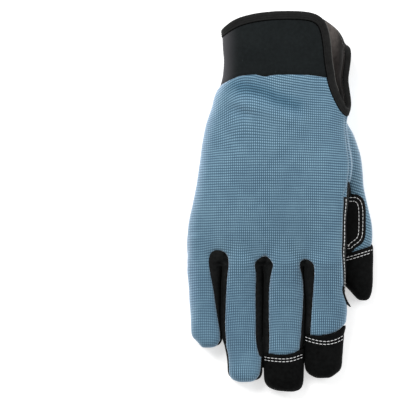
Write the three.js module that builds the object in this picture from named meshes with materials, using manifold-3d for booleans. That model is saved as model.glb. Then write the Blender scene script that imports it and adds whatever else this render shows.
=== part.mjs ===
// Insulated work glove for the right hand, lying on its palm, in millimetres with +Z up.
// The fingers point along -Y and the cuff along +Y. The thumb lies on the +X side, under the index side.
// Every wall is the space between a skin and the same skin drawn in by the wall's thickness.
// The seams between pieces are cut through that wall from above.
import * as THREE from "three";
import { mergeVertices } from "three/addons/utils/BufferGeometryUtils.js";
import Module from "manifold-3d";

const wasm = await Module();
wasm.setup();

// Thicknesses and gaps
const WALL = 2.4;
const SEAM = 0.3;
const CAP_RISE = 0.8;
const PATCH_THICKNESS = 0.8;
const BINDING_WIDTH = 5;
const BINDING_RISE = 0.7;
const LINING_THICKNESS = 1.4;
const LINING_END = 52;

// Number of flats round each skin, and how square its sections are (2 is an ellipse)
const HAND_SIDES = 20;
const FINGER_SIDES = 13;
const THUMB_SIDES = 13;
const SQUARENESS = 2.3;

// Places outside the whole glove, where the cutting shapes end
const BELOW_ALL = -10;
const ABOVE_ALL = 90;
const FAR_X = 90;
const FAR_Y = 170;

// The underside is pressed flat against the surface that it lies on
const PRESS = 3;

// Across X, the underside of the hand climbs over the thumb between these two places
const RISE_FROM = 5;
const RISE_TO = 32;

// A short table: each row is an object with the named columns
function table(names, rows) {
  return rows.map((row) => Object.fromEntries(names.map((name, i) => [name, row[i]])));
}

// Sections across the hand, from the cuff to the finger roots: both edges, the height of the
// side seams, the height of the back above them, the underside and its climb over the thumb
const HAND = table(
  ["y", "left", "right", "midLeft", "midRight", "up", "floor", "rise"],
  [
    [140, -38.4, 45.0, 19, 21, 18.5, 0.7, 0],
    [104, -38.8, 47.4, 19, 22, 18.5, 0.7, 0],
    [82, -39.2, 46.4, 17, 23, 16.5, 1.2, 1],
    [66, -45.6, 47.6, 14.5, 25.5, 15.5, 2.2, 3],
    [50, -50.8, 45.6, 13, 27, 15, 2.2, 5],
    [25, -54.8, 48.2, 12.5, 28, 14, 2.2, 9],
    [5, -57.8, 46.4, 12, 29.5, 12.5, 2.2, 16],
    [-12, -61.6, 44.8, 12, 30, 11.5, 2.2, 18],
    [-30, -63.2, 44.2, 12, 29, 10.5, 2.2, 18],
    [-40, -62.6, 44.0, 11.5, 27, 9, 1.6, 16],
    [-44.5, -60.5, 42.0, 11.5, 26, 6, 3, 15],
  ],
);
const HAND_STATIONS = [140, 104, 84, 77, 71, 66, 60, 51, 37, 21, 6, -10, -24, -36, -44.5];

// Long shallow folds of the knit between the wrist and the thumb, each along a line
const FOLDS = table(
  ["x1", "y1", "x2", "y2", "width", "depth"],
  [
    [-38, 75, -12, 69, 4, 1.7],
    [-12, 70, 24, 61, 4.5, 1.9],
    [-50, 63, -26, 58, 3.5, 1.2],
  ],
);

// Fingers: edges at the root and before the tip, the tip, and heights at the root
const FINGERS = table(
  ["name", "rootLeft", "rootRight", "tipLeft", "tipRight", "tip", "mid", "up", "floor", "rest"],
  [
    ["pinky", -63.0, -41.4, -60.4, -39.4, -100.2, 12.5, 8.5, 1, 0],
    ["ring", -41.0, -12.3, -37.9, -12.6, -123.8, 17, 10.5, 3, 0],
    ["middle", -11.9, 16.1, -11.4, 15.4, -129.2, 22, 10.5, 9, 0],
    ["index", 16.5, 44.2, 17.4, 43.6, -120.2, 27.5, 8.2, 20.5, 0.8],
  ],
);
// Each finger starts inside the hand, leaves it at the root and bends down to the surface
const FINGER_START = -24;
const FINGER_ROOT = -42;
const FINGER_BENDS = [-54, -67];
const FINGER_BEND_POWER = 1.5;
const FINGER_ROOT_INSET = 0.6;
const TIP_LENGTH = 14;
const TIP_SQUARENESS = 2.7;
const TIP_MID = 8;
const TIP_UP = 8;
const TIP_STEPS = [1, 0.6, 0.3, 0.1, 0.01];

// Sections across the thumb, from inside the wrist to its tip
const THUMB = table(
  ["y", "left", "right", "mid", "up", "floor"],
  [
    [70, 20, 40, 22, 9, 12],
    [57, 16, 44.6, 19, 12, 5],
    [45, 15.5, 50.2, 17, 13, 2],
    [33, 16, 53.9, 15, 13, 0.8],
    [20, 16.5, 55.8, 13.2, 12.5, 0.8],
    [8, 17.5, 56.6, 11, 10.5, 0.8],
    [-4, 19, 59.2, 9.8, 8.6, 0.8],
    [-16, 21.5, 61.8, 9.5, 8.3, 0.8],
    [-32, 27.5, 62.2, 9.3, 8.2, 0.8],
    [-46, 33.8, 61.8, 9, 7.8, 0.8],
    [-56, 40, 61.2, 8.6, 7, 0.8],
    [-62, 45.5, 60.2, 8.2, 5.6, 1.5],
    [-66, 50.2, 58.4, 8, 3.6, 3],
    [-67.5, 53, 56.6, 7.8, 1.6, 5.5],
  ],
);
// Below this place the thumb is apart from the hand, and its core is never thinner than this
const THUMB_PARTS = 6;
const THUMB_CORE = 0.4;

// Heights at which the knit of the back meets the palm's leather, at two places across
const SIDE_SEAM = table(
  ["y", "low", "high"],
  [
    [150, 12, 30],
    [82, 9, 30],
    [40, 6.5, 32],
    [8, 6, 34],
    [2, 6, 37.2],
    [-42, 6, 35.2],
    [-61, 5.5, 24.6],
    [-80, 5, 15.5],
    [-100, 5, 9],
    [-140, 5, 8],
  ],
);
const SIDE_SEAM_LOW_X = -70;
const SIDE_SEAM_HIGH_X = 50;
// On the thumb side, the knit of the gusset ends here and the palm's leather begins
const GUSSET_END = 3.7;
// Where the palm's leather ends and the fronts of the four fingers begin
const PALM_END = -44.7;

// Seams seen from above, each a chain of points
const CUFF_SEAM = [[-FAR_X, 77], [-40, 78], [-11, 84], [32, 83.3], [FAR_X, 83]];
const GUSSET_EDGE = [
  [17, 90], [19, 82], [22.4, 61.5], [27.2, 41], [34, 20.7], [39.4, 3.7], [46.2, -17.3], [50, -45],
];
const INDEX_CAP_EDGE = [[16.3, -90.8], [30, -88], [44, -86], [48, -86]];
const MIDDLE_CAP_EDGE = [[-12, -103.7], [-10, -103.7], [2, -104.5], [16, -103.7], [17, -103.7]];
const THUMB_CAP_EDGE = [[5, -38], [35, -37.5], [45, -36.4], [62.6, -31], [75, -28]];
const TOUCH_TIP_EDGE = [[16.3, -74.2], [30, -75.5], [42, -74.5], [50, -73.5]];

// The mouth's edge, from the little-finger side to the thumb side
const MOUTH = [
  [-60, 98], [-38.8, 112.4], [-29.8, 119], [-16.5, 123.8], [-5, 125.5], [8, 125.8],
  [20, 124.3], [27.5, 120.5], [33, 117.5], [40.5, 113.4], [44, 107], [48, 103], [64, 101],
];
const MOUTH_STEPS = 18;

// The slit on the thumb side looks out and up. Its edge is given in its own plane, by the
// place across the slit and along Y, from the palm's edge round the foot to the back's edge
const SLIT = { x: 41.5, z: 30, angle: 30, inward: 20, outward: 30 };
const SLIT_EDGE = [
  [-10.5, 150], [-10, 108], [-9, 85], [-7.4, 66], [-5.6, 59.5], [-3.2, 57.4], [-0.6, 59.2],
  [4.4, 68], [7.6, 78], [8.8, 95], [9.8, 115], [10, 150],
];

// Strips between the fingers, seen from above
const FOURCHETTES = [
  [[-42, -33.4], [-46.5, -36], [-48.6, -43], [-48, -52], [-46, -66], [-44.4, -82], [-43.4, -92],
    [-41.6, -97], [-39, -97], [-38.2, -85], [-37.2, -66], [-35.9, -50], [-36.4, -40], [-38.6, -35]],
  [[-12, -37.8], [-15.6, -40], [-17.2, -46], [-16.6, -57], [-16.3, -80], [-14.5, -104], [-9.4, -104],
    [-8.2, -80], [-7.6, -57], [-6.6, -46], [-8, -40.5]],
  [[16.4, -39], [13.6, -42], [12.6, -48], [13, -62], [14, -76], [13.6, -89.5], [19.6, -87.8],
    [20.6, -76], [21.4, -62], [21.9, -48], [20.2, -42]],
];

// Padded patches on the palm, seen from above
const PALM_PATCH_OUTER = [
  [-70, 63], [-50, 64], [-25, 65], [-15, 62], [-10.5, 55], [-9.5, 42], [-7, 28], [-1.6, 16], [7, 1],
  [11, -7], [10.5, -15], [7.5, -21], [1.4, -26.5], [-9, -25.5], [-18, -28], [-28, -23], [-45, -23.5],
  [-70, -24],
];
const PALM_PATCH_INNER = [
  [-52, 49], [-29, 51], [-26, 46], [-25, 37], [-22, 21], [-18, 6], [-11.6, -5], [-11.7, -11],
  [-15.6, -15], [-31, -11], [-47, -7], [-51, 10],
];

const PALM_PATCH_HIGHEST = 5;

// Saddle patch round the thumb's crotch: on top of the thumb, and along the edge of its front
const SADDLE_TOP = [[12, 4], [48, 4], [54, -1], [57.2, -9], [57, -19], [52.5, -29], [44, -35], [12, -35]];
const SADDLE_UNDER = [[12, 9], [33, 9], [27, 0], [26, -14], [29, -30], [29, -35], [12, -35]];
const SADDLE_LEVEL = 9;
const SADDLE_LOWEST = 1.4;

// Turns a closed geometry into a solid that can be joined and cut
function solid(geometry) {
  geometry.deleteAttribute("normal");
  geometry.deleteAttribute("uv");
  const merged = mergeVertices(geometry, 1e-4);
  return new wasm.Manifold(
    new wasm.Mesh({
      numProp: 3,
      vertProperties: new Float32Array(merged.attributes.position.array),
      triVerts: new Uint32Array(merged.index.array),
    }),
  );
}

// A closed skin through rings with the same number of points, from +Y to -Y
function loft(rings) {
  const sides = rings[0].length;
  const positions = rings.flat();
  const index = [];
  for (let r = 0; r < rings.length - 1; r++) {
    for (let i = 0; i < sides; i++) {
      const a = r * sides + i;
      const b = r * sides + ((i + 1) % sides);
      index.push(a, b, a + sides, b, b + sides, a + sides);
    }
  }
  for (const [first, turn] of [[0, 1], [(rings.length - 1) * sides, 0]]) {
    const middle = positions.length;
    const ring = positions.slice(first, first + sides);
    positions.push([0, 1, 2].map((axis) => ring.reduce((sum, p) => sum + p[axis], 0) / sides));
    for (let i = 0; i < sides; i++) {
      const pair = [first + i, first + ((i + 1) % sides)];
      index.push(middle, pair[turn], pair[1 - turn]);
    }
  }
  const geometry = new THREE.BufferGeometry();
  geometry.setAttribute("position", new THREE.Float32BufferAttribute(positions.flat(), 3));
  geometry.setIndex(index);
  return solid(geometry);
}

// Every column of a table at a place along Y, by cubics through its rows
function sectionAt(rows, y) {
  const last = rows.length - 2;
  let i = rows.findIndex((row, k) => k > 0 && row.y <= y) - 1;
  i = i < 0 ? last : i;
  const span = rows[i + 1].y - rows[i].y;
  const t = (y - rows[i].y) / span;
  const slope = (k, name) => {
    const before = rows[Math.max(k - 1, 0)];
    const after = rows[Math.min(k + 1, last + 1)];
    return (after[name] - before[name]) / (after.y - before.y);
  };
  const section = {};
  for (const name of Object.keys(rows[0])) {
    const from = rows[i][name];
    const to = rows[i + 1][name];
    section[name] =
      from * (2 * t ** 3 - 3 * t ** 2 + 1) +
      to * (3 * t ** 2 - 2 * t ** 3) +
      span * slope(i, name) * (t ** 3 - 2 * t ** 2 + t) +
      span * slope(i + 1, name) * (t ** 3 - t ** 2);
  }
  return section;
}

// How far the folds press the back down at a point
function foldDepth(x, y) {
  let depth = 0;
  for (const fold of FOLDS) {
    const along = new THREE.Vector2(fold.x2 - fold.x1, fold.y2 - fold.y1);
    const from = new THREE.Vector2(x - fold.x1, y - fold.y1);
    const t = THREE.MathUtils.clamp(from.dot(along) / along.lengthSq(), 0, 1);
    const distance = from.sub(along.multiplyScalar(t)).length();
    depth += fold.depth * Math.exp(-((distance / fold.width) ** 2));
  }
  return depth;
}

// One ring round a section, drawn out by grow: rounded above, pressed flat below
function ring(section, y, grow, sides) {
  const centre = (section.left + section.right) / 2;
  const half = (section.right - section.left) / 2 + grow;
  const points = [];
  for (let i = 0; i < sides; i++) {
    const angle = (2 * Math.PI * i) / sides;
    const c = Math.cos(angle);
    const s = Math.sin(angle);
    const x = centre + half * Math.sign(c) * Math.abs(c) ** (2 / SQUARENESS);
    const level = THREE.MathUtils.mapLinear(
      x, section.left, section.right, section.midLeft, section.midRight,
    );
    const reach = Math.abs(s) ** (2 / SQUARENESS);
    const climb = section.rise * THREE.MathUtils.smoothstep(x, RISE_FROM, RISE_TO);
    const floor = section.floor + climb - grow;
    const top = level + (section.up + grow - foldDepth(x, y)) * reach;
    const under = Math.max(floor, level - (level - floor + PRESS) * reach);
    points.push([x, y, s >= 0 ? top : under]);
  }
  return points;
}

function hand(grow) {
  const rings = HAND_STATIONS.map((y, i) => {
    const end = i === HAND_STATIONS.length - 1 ? grow : 0;
    return ring(sectionAt(HAND, y), y - end, grow, HAND_SIDES);
  });
  return loft(rings);
}

function thumb(grow) {
  const rings = THUMB.map((row, i) => {
    const flat = { ...row, midLeft: row.mid, midRight: row.mid, rise: 0 };
    const fromTip = (THUMB.length - 1 - i) / (THUMB.length - 1);
    const shift = row.y < THUMB_PARTS ? grow * (1 - fromTip) : 0;
    return ring(withCore(flat, grow), row.y - shift, grow, THUMB_SIDES);
  });
  return loft(rings);
}

// Near the tip a section can be smaller than what the skin is drawn in by, so it keeps a core
function withCore(section, grow) {
  const half = (section.right - section.left) / 2;
  const lack = Math.max(0, THUMB_CORE - half - grow);
  return {
    ...section,
    left: section.left - lack,
    right: section.right + lack,
    up: Math.max(section.up, THUMB_CORE - grow),
    floor: Math.min(section.floor, section.midLeft - THUMB_CORE + grow),
  };
}

// The section of a finger at a place along Y, where swell narrows it towards the tip
function fingerSection(row, y, grow, swell) {
  const tipStart = row.tip + TIP_LENGTH;
  const t = THREE.MathUtils.clamp((FINGER_ROOT - y) / (FINGER_ROOT - tipStart), 0, 1);
  const bend = (1 - t) ** FINGER_BEND_POWER;
  const inset = y > FINGER_ROOT ? FINGER_ROOT_INSET : 0;
  const left = THREE.MathUtils.lerp(row.rootLeft, row.tipLeft, t) + inset;
  const right = THREE.MathUtils.lerp(row.rootRight, row.tipRight, t) - inset;
  const half = ((right - left) / 2 + grow) * swell;
  const mid = THREE.MathUtils.lerp(TIP_MID, row.mid, bend);
  const floor = THREE.MathUtils.lerp(row.rest, row.floor, bend) - grow;
  return {
    left: (left + right) / 2 - half,
    right: (left + right) / 2 + half,
    midLeft: mid,
    midRight: mid,
    up: (THREE.MathUtils.lerp(TIP_UP, row.up, bend) + grow) * swell,
    floor: mid - (mid - floor) * swell,
    rise: 0,
  };
}

function finger(row, grow) {
  const tipStart = row.tip + TIP_LENGTH;
  const lastBend = FINGER_BENDS[FINGER_BENDS.length - 1];
  const places = [FINGER_START, FINGER_ROOT, ...FINGER_BENDS, (tipStart + lastBend) / 2];
  const straight = places.map((y) => ({ y, swell: 1 }));
  const tip = TIP_STEPS.map((step) => ({
    y: row.tip - grow + (TIP_LENGTH + grow) * step,
    swell: (1 - (1 - step) ** TIP_SQUARENESS) ** (1 / TIP_SQUARENESS),
  }));
  const rings = [...straight, ...tip].map(({ y, swell }) =>
    ring(fingerSection(row, y, grow, swell), y, 0, FINGER_SIDES),
  );
  return loft(rings);
}

// Moves each point of an outline sideways: out of a closed loop that turns either way
function offset(points, distance, closed) {
  const n = points.length;
  const area = points.reduce((sum, p, i) => {
    const q = points[(i + 1) % n];
    return sum + p[0] * q[1] - q[0] * p[1];
  }, 0);
  const side = closed ? Math.sign(area) : 1;
  return points.map((p, i) => {
    const before = points[closed ? (i + n - 1) % n : Math.max(i - 1, 0)];
    const after = points[closed ? (i + 1) % n : Math.min(i + 1, n - 1)];
    const way = new THREE.Vector2(after[0] - before[0], after[1] - before[1]).normalize();
    return [p[0] + side * distance * way.y, p[1] - side * distance * way.x];
  });
}

// An upright prism over an outline
function prism(points, grow = 0, low = BELOW_ALL, high = ABOVE_ALL) {
  const outline = offset(points, grow, true).map(([x, y]) => new THREE.Vector2(x, y));
  const geometry = new THREE.ExtrudeGeometry(new THREE.Shape(outline), {
    depth: high - low,
    bevelEnabled: false,
  });
  return solid(geometry.translate(0, 0, low));
}

// All that lies beyond a seam, on the side of the far corners
function beyond(seam, corners, grow = 0) {
  return prism([...seam, ...corners], grow);
}

// All above the side seams, raised by a small amount
function aboveSideSeam(raise) {
  const rings = SIDE_SEAM.map(({ y, low, high }) => {
    const edge = (x) =>
      THREE.MathUtils.mapLinear(x, SIDE_SEAM_LOW_X, SIDE_SEAM_HIGH_X, low, high) + raise;
    return [
      [FAR_X, y, edge(FAR_X)],
      [FAR_X, y, ABOVE_ALL],
      [-FAR_X, y, ABOVE_ALL],
      [-FAR_X, y, edge(-FAR_X)],
    ];
  });
  return loft(rings);
}

// All beyond the edge of the mouth and of the slit, drawn in by inset
function cutAway(inset) {
  const curve = new THREE.SplineCurve(MOUTH.map(([x, y]) => new THREE.Vector2(x, y)));
  const edge = curve.getPoints(MOUTH_STEPS).map((p) => [p.x, p.y]);
  const mouth = beyond(offset(edge, inset, false), [[64, FAR_Y], [-60, FAR_Y]]);
  const slitEdge = SLIT_EDGE.map(([across, y]) => [y, across]);
  const outline = offset(slitEdge, -inset, false).map(([x, y]) => new THREE.Vector2(x, y));
  const geometry = new THREE.ExtrudeGeometry(new THREE.Shape(outline), {
    depth: SLIT.inward + SLIT.outward,
    bevelEnabled: false,
  });
  geometry.translate(0, 0, -SLIT.inward);
  // The outline's plane holds +Y and the tube's girth, and the prism looks out of the tube
  const angle = THREE.MathUtils.degToRad(SLIT.angle);
  const out = new THREE.Vector3(Math.cos(angle), 0, Math.sin(angle));
  const along = new THREE.Vector3(0, 1, 0);
  const girth = new THREE.Vector3().crossVectors(out, along);
  const turned = new THREE.Matrix4().makeBasis(along, girth, out);
  turned.setPosition(SLIT.x, 0, SLIT.z);
  return mouth.add(solid(geometry.applyMatrix4(turned)));
}

// The largest body of a cut, without the crumbs that a curved cut can leave
function largest(cut) {
  const bodies = cut.decompose();
  return bodies.reduce((best, body) => (body.volume() > best.volume() ? body : best));
}

const fingerRows = Object.fromEntries(FINGERS.map((row) => [row.name, row]));

// The whole skin, drawn out by grow
function skin(grow) {
  return FINGERS.reduce((all, row) => all.add(finger(row, grow)), hand(grow).add(thumb(grow)));
}

const hollow = skin(-WALL);
const shell = skin(0).subtract(hollow);
const wrist = (grow) => hand(grow).add(thumb(grow));

// Zones that the seams enclose, drawn out by grow. A cap's zone runs on past its own tip.
const downFrom = (edge) => [[edge[edge.length - 1][0], -FAR_Y], [edge[0][0], -FAR_Y]];
const across = (from, to) => [[0, from], [FAR_X, from], [FAR_X, to], [0, to]];
const band = (from, to) => [[-FAR_X, from], [FAR_X, from], [FAR_X, to], [-FAR_X, to]];
const cuffZone = (grow) => beyond(CUFF_SEAM, [[FAR_X, FAR_Y], [-FAR_X, FAR_Y]], grow);
const gussetSide = (grow) => beyond(GUSSET_EDGE, [[FAR_X, -45], [FAR_X, 90]], grow);
const gussetTop = (grow) => prism(across(GUSSET_END, FAR_Y), grow);
const looseThumb = (grow) => thumb(grow).intersect(prism(across(-FAR_Y, THUMB_PARTS), grow));
const indexCapZone = (grow) => beyond(INDEX_CAP_EDGE, downFrom(INDEX_CAP_EDGE), grow);
const middleCapZone = (grow) => beyond(MIDDLE_CAP_EDGE, downFrom(MIDDLE_CAP_EDGE), grow);
const thumbCapZone = (grow) => beyond(THUMB_CAP_EDGE, downFrom(THUMB_CAP_EDGE), grow);
const touchTipZone = (grow) => beyond(TOUCH_TIP_EDGE, downFrom(TOUCH_TIP_EDGE), grow);

const trimmed = shell.subtract(cutAway(BINDING_WIDTH + SEAM));
const sewn = trimmed.subtract(cuffZone(SEAM));
const upper = sewn.intersect(aboveSideSeam(0));
const under = sewn.subtract(aboveSideSeam(-SEAM));
const gusset = (grow) => gussetSide(grow).intersect(gussetTop(grow).add(looseThumb(grow)));

function backPanel() {
  const seams = FOURCHETTES.map((outline) => prism(outline, SEAM));
  const caps = indexCapZone(SEAM).add(middleCapZone(SEAM));
  return seams.reduce((panel, seam) => panel.subtract(seam), upper.subtract(caps));
}

function fourchette(outline) {
  return upper.intersect(prism(outline)).subtract(indexCapZone(SEAM)).subtract(middleCapZone(SEAM));
}

function palmPanel() {
  const palm = under.intersect(prism(band(PALM_END, FAR_Y)));
  return palm.subtract(looseThumb(SEAM).add(gusset(SEAM)));
}

// The leather front of one finger, from the palm's end to its tip
function fingerFront(row) {
  const root = PALM_END - SEAM;
  const sides = [[row.rootLeft, root], [row.rootRight, root], [row.tipRight, -FAR_Y], [row.tipLeft, -FAR_Y]];
  const front = under.intersect(prism(sides, SEAM / 2)).subtract(prism(band(root, FAR_Y)));
  return front.subtract(thumb(SEAM)).subtract(touchTipZone(SEAM));
}

function fingerCap(name) {
  return finger(fingerRows[name], CAP_RISE).subtract(hollow);
}

function patch(layerOf, outline, beneath) {
  const layer = layerOf(beneath + PATCH_THICKNESS).subtract(layerOf(beneath));
  return layer.intersect(prism(outline, 0, BELOW_ALL, PALM_PATCH_HIGHEST));
}

function saddle() {
  const top = prism(SADDLE_TOP, 0, SADDLE_LEVEL, 40);
  const edge = prism(SADDLE_UNDER, 0, SADDLE_LOWEST, SADDLE_LEVEL + 0.01);
  const layer = thumb(SEAM + PATCH_THICKNESS).subtract(thumb(SEAM));
  return layer
    .intersect(top.add(edge))
    .subtract(hand(SEAM))
    .subtract(finger(fingerRows.index, SEAM))
    .subtract(thumbCapZone(SEAM));
}

function binding() {
  const rim = cutAway(BINDING_WIDTH).subtract(cutAway(0));
  return wrist(BINDING_RISE).subtract(wrist(-WALL - BINDING_RISE)).intersect(rim);
}

function lining() {
  const outside = WALL + SEAM;
  const sleeve = wrist(-outside).subtract(wrist(-outside - LINING_THICKNESS));
  const shown = prism([[-FAR_X, LINING_END], [FAR_X, LINING_END], [FAR_X, FAR_Y], [-FAR_X, FAR_Y]]);
  return sleeve.intersect(shown).subtract(cutAway(BINDING_WIDTH + SEAM));
}

// Each piece with its solid and its look
const KNIT = { color: 0x66859a, roughness: 0.9 };
const LEATHER = { color: 0x16181a, roughness: 0.75 };
const NEOPRENE = { color: 0x202426, roughness: 0.8 };
const TAPE = { color: 0x26231f, roughness: 0.85 };
const PILE = { color: 0x3a3330, roughness: 0.95 };
const TOUCH = { color: 0x33373a, roughness: 0.6 };

const PIECES = [
  ["back_panel", backPanel(), KNIT],
  ["palm_panel", palmPanel(), LEATHER],
  ...FINGERS.map((row) => [row.name + "_front", fingerFront(row), LEATHER]),
  ...FOURCHETTES.map((outline, i) => ["fourchette_" + (i + 1), fourchette(outline), LEATHER]),
  ["thumb_back", under.intersect(gusset(0)).subtract(thumbCapZone(SEAM)), KNIT],
  [
    "thumb_palm",
    under.intersect(looseThumb(0)).subtract(gussetSide(SEAM)).subtract(thumbCapZone(SEAM)),
    LEATHER,
  ],
  ["thumb_cap", thumb(CAP_RISE).subtract(hollow).intersect(thumbCapZone(0)), LEATHER],
  ["index_cap", fingerCap("index").intersect(indexCapZone(0)).intersect(aboveSideSeam(0)), LEATHER],
  ["middle_cap", fingerCap("middle").intersect(middleCapZone(0)).intersect(aboveSideSeam(0)), LEATHER],
  ["touch_tip", fingerCap("index").intersect(touchTipZone(0)).subtract(aboveSideSeam(-SEAM)), TOUCH],
  ["palm_patch_outer", patch(hand, PALM_PATCH_OUTER, SEAM), LEATHER],
  ["palm_patch_inner", patch(hand, PALM_PATCH_INNER, 2 * SEAM + PATCH_THICKNESS), LEATHER],
  ["thumb_patch", saddle(), LEATHER],
  ["cuff", trimmed.intersect(cuffZone(0)), NEOPRENE],
  ["cuff_binding", binding(), TAPE],
  ["cuff_lining", lining(), PILE],
];

const glove = new THREE.Group();
for (const [name, cut, look] of PIECES) {
  const { vertProperties, triVerts } = largest(cut).getMesh();
  const geometry = new THREE.BufferGeometry();
  geometry.setAttribute("position", new THREE.BufferAttribute(vertProperties, 3));
  geometry.setIndex(new THREE.BufferAttribute(triVerts, 1));
  geometry.computeVertexNormals();
  const mesh = new THREE.Mesh(geometry, new THREE.MeshStandardMaterial({ ...look, metalness: 0 }));
  mesh.name = name;
  glove.add(mesh);
}

// The origin is the middle of the underside
const box = new THREE.Box3().setFromObject(glove);
const middle = box.getCenter(new THREE.Vector3());
glove.position.set(-middle.x, -middle.y, -box.min.z);

export default glove;
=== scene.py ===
"""The looks of an insulated work glove for the right hand, lying on its palm.

Sizes in the tables are millimetres, from the same origin as the glove's own drawing: the fingers
point along -Y, the cuff along +Y and the thumb lies on the +X side.
"""

import math

import bmesh
import bpy
import numpy as np
from mathutils import Matrix, Vector
from mathutils.bvhtree import BVHTree
from mathutils.kdtree import KDTree


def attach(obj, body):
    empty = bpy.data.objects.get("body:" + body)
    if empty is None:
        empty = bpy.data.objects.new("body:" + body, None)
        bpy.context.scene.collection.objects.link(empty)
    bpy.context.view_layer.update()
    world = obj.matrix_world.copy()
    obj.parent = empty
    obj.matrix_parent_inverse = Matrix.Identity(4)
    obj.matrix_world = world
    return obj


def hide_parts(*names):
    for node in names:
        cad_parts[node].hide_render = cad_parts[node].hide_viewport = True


bl_info = {
    "name": "Insulated work glove",
    "version": (1, 0, 0),
    "blender": (4, 5, 0),
    "location": "View3D > Sidebar > Glove",
    "description": "Builds the pieces of an insulated work glove over its packed model",
    "category": "Add Mesh",
}

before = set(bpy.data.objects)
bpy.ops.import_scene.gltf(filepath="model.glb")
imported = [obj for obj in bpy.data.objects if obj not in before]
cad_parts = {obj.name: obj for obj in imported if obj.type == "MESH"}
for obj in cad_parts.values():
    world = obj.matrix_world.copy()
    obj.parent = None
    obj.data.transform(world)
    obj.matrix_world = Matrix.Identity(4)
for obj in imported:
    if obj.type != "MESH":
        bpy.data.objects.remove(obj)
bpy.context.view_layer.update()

MM = 0.001
# The drawing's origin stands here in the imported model, in millimetres
SHIFT = np.array([0.06, 1.98, 0.0])
# Nothing reaches lower than this above the floor
LOWEST = 0.03

# Sections across the hand: both edges, the height of the side seams, the height of the back
# above them, the underside and its climb over the thumb
HAND_COLUMNS = ("y", "left", "right", "mid_left", "mid_right", "up", "floor", "rise")
HAND = (
    (140, -39.2, 45.0, 19, 21, 18.5, 0.7, 0),
    (114, -39.3, 46.7, 19, 21.7, 18.5, 0.7, 0),
    (104, -38.9, 47.4, 19, 22, 18.5, 0.7, 0),
    (96, -38.1, 47.1, 18.3, 22.3, 17.8, 0.9, 0.4),
    (90, -38.4, 46.5, 17.7, 22.6, 17.2, 1, 0.6),
    (82, -39.3, 45.6, 17, 23, 16.5, 1.2, 1),
    (78, -41.3, 46.2, 16.4, 23.6, 16.2, 1.5, 1.5),
    (72, -44.2, 46.8, 15.4, 24.6, 15.8, 1.8, 2.2),
    (64, -46.4, 47.4, 14.3, 25.7, 15.5, 2.2, 3.3),
    (50, -50.8, 44.6, 13, 27, 15, 2.2, 5),
    (25, -54.8, 48.2, 12.5, 28, 14, 2.2, 9),
    (5, -57.8, 46.4, 12, 29.5, 12.5, 2.2, 16),
    (-12, -61.6, 44.6, 12, 30, 11.5, 2.2, 18),
    (-30, -63.2, 44.3, 12, 29, 10.5, 2.2, 18),
    (-40, -62.6, 44.1, 11.5, 27, 9, 1.6, 16),
    (-44.5, -60.5, 42.0, 11.5, 26, 6, 3, 15),
)
THUMB_COLUMNS = ("y", "left", "right", "mid", "up", "floor")
THUMB = (
    (70, 20, 40, 22, 9, 12),
    (57, 16, 43, 19, 12, 5),
    (45, 15.5, 49.6, 17, 13, 2),
    (33, 16, 54.1, 15, 13, 1.2),
    (20, 16.5, 56.3, 13.2, 12.5, 1.2),
    (8, 17.5, 57.1, 11, 10.5, 1.2),
    (-4, 19, 60.0, 9.8, 8.6, 1.2),
    (-16, 21.5, 62.5, 9.5, 8.3, 1.2),
    (-32, 27.5, 62.9, 9.3, 8.2, 1.2),
    (-46, 34.8, 62.7, 9, 7.8, 1.2),
    (-56, 43.6, 62.8, 8.6, 7, 1.2),
    (-62, 49.2, 62.2, 8.2, 5.6, 1.8),
    (-66, 52.6, 60.8, 8, 3.6, 3),
    (-67.6, 54.6, 59.4, 7.8, 1.8, 5.5),
)
FINGER_COLUMNS = (
    "name", "root_left", "root_right", "tip_left", "tip_right", "tip", "mid", "up", "floor", "rest",
)
FINGERS = (
    ("pinky", -63.0, -39.2, -60.4, -39.4, -100.2, 12.5, 8.5, 1, 0),
    ("ring", -38.8, -11.3, -37.9, -12.6, -123.8, 17, 10.5, 3, 0),
    ("middle", -10.9, 16.1, -11.4, 15.4, -129.2, 22, 10.5, 9, 0),
    ("index", 16.5, 44.3, 17.4, 43.6, -120.2, 27.5, 8.2, 20.5, 1.2),
)
FINGER_ROWS = [dict(zip(FINGER_COLUMNS, row)) for row in FINGERS]
FINGER_START = -24
FINGER_ROOT = -42
FINGER_BEND_POWER = 1.5
FINGER_ROOT_INSET = 0.6
TIP_LENGTH = 12.5
TIP_STEPS = (1, 0.85, 0.7, 0.55, 0.42, 0.3, 0.2, 0.12, 0.06, 0.02, 0.004)
TIP_SQUARENESS = 4
TIP_MID = 8
TIP_UP = 8
SQUARENESS = 2.3
# How many points each ring round the hand, the thumb and a finger has
HAND_SIDES = 112
THUMB_SIDES = 64
FINGER_SIDES = 56
PRESS = 3
RISE_FROM = 5
RISE_TO = 32

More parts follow.
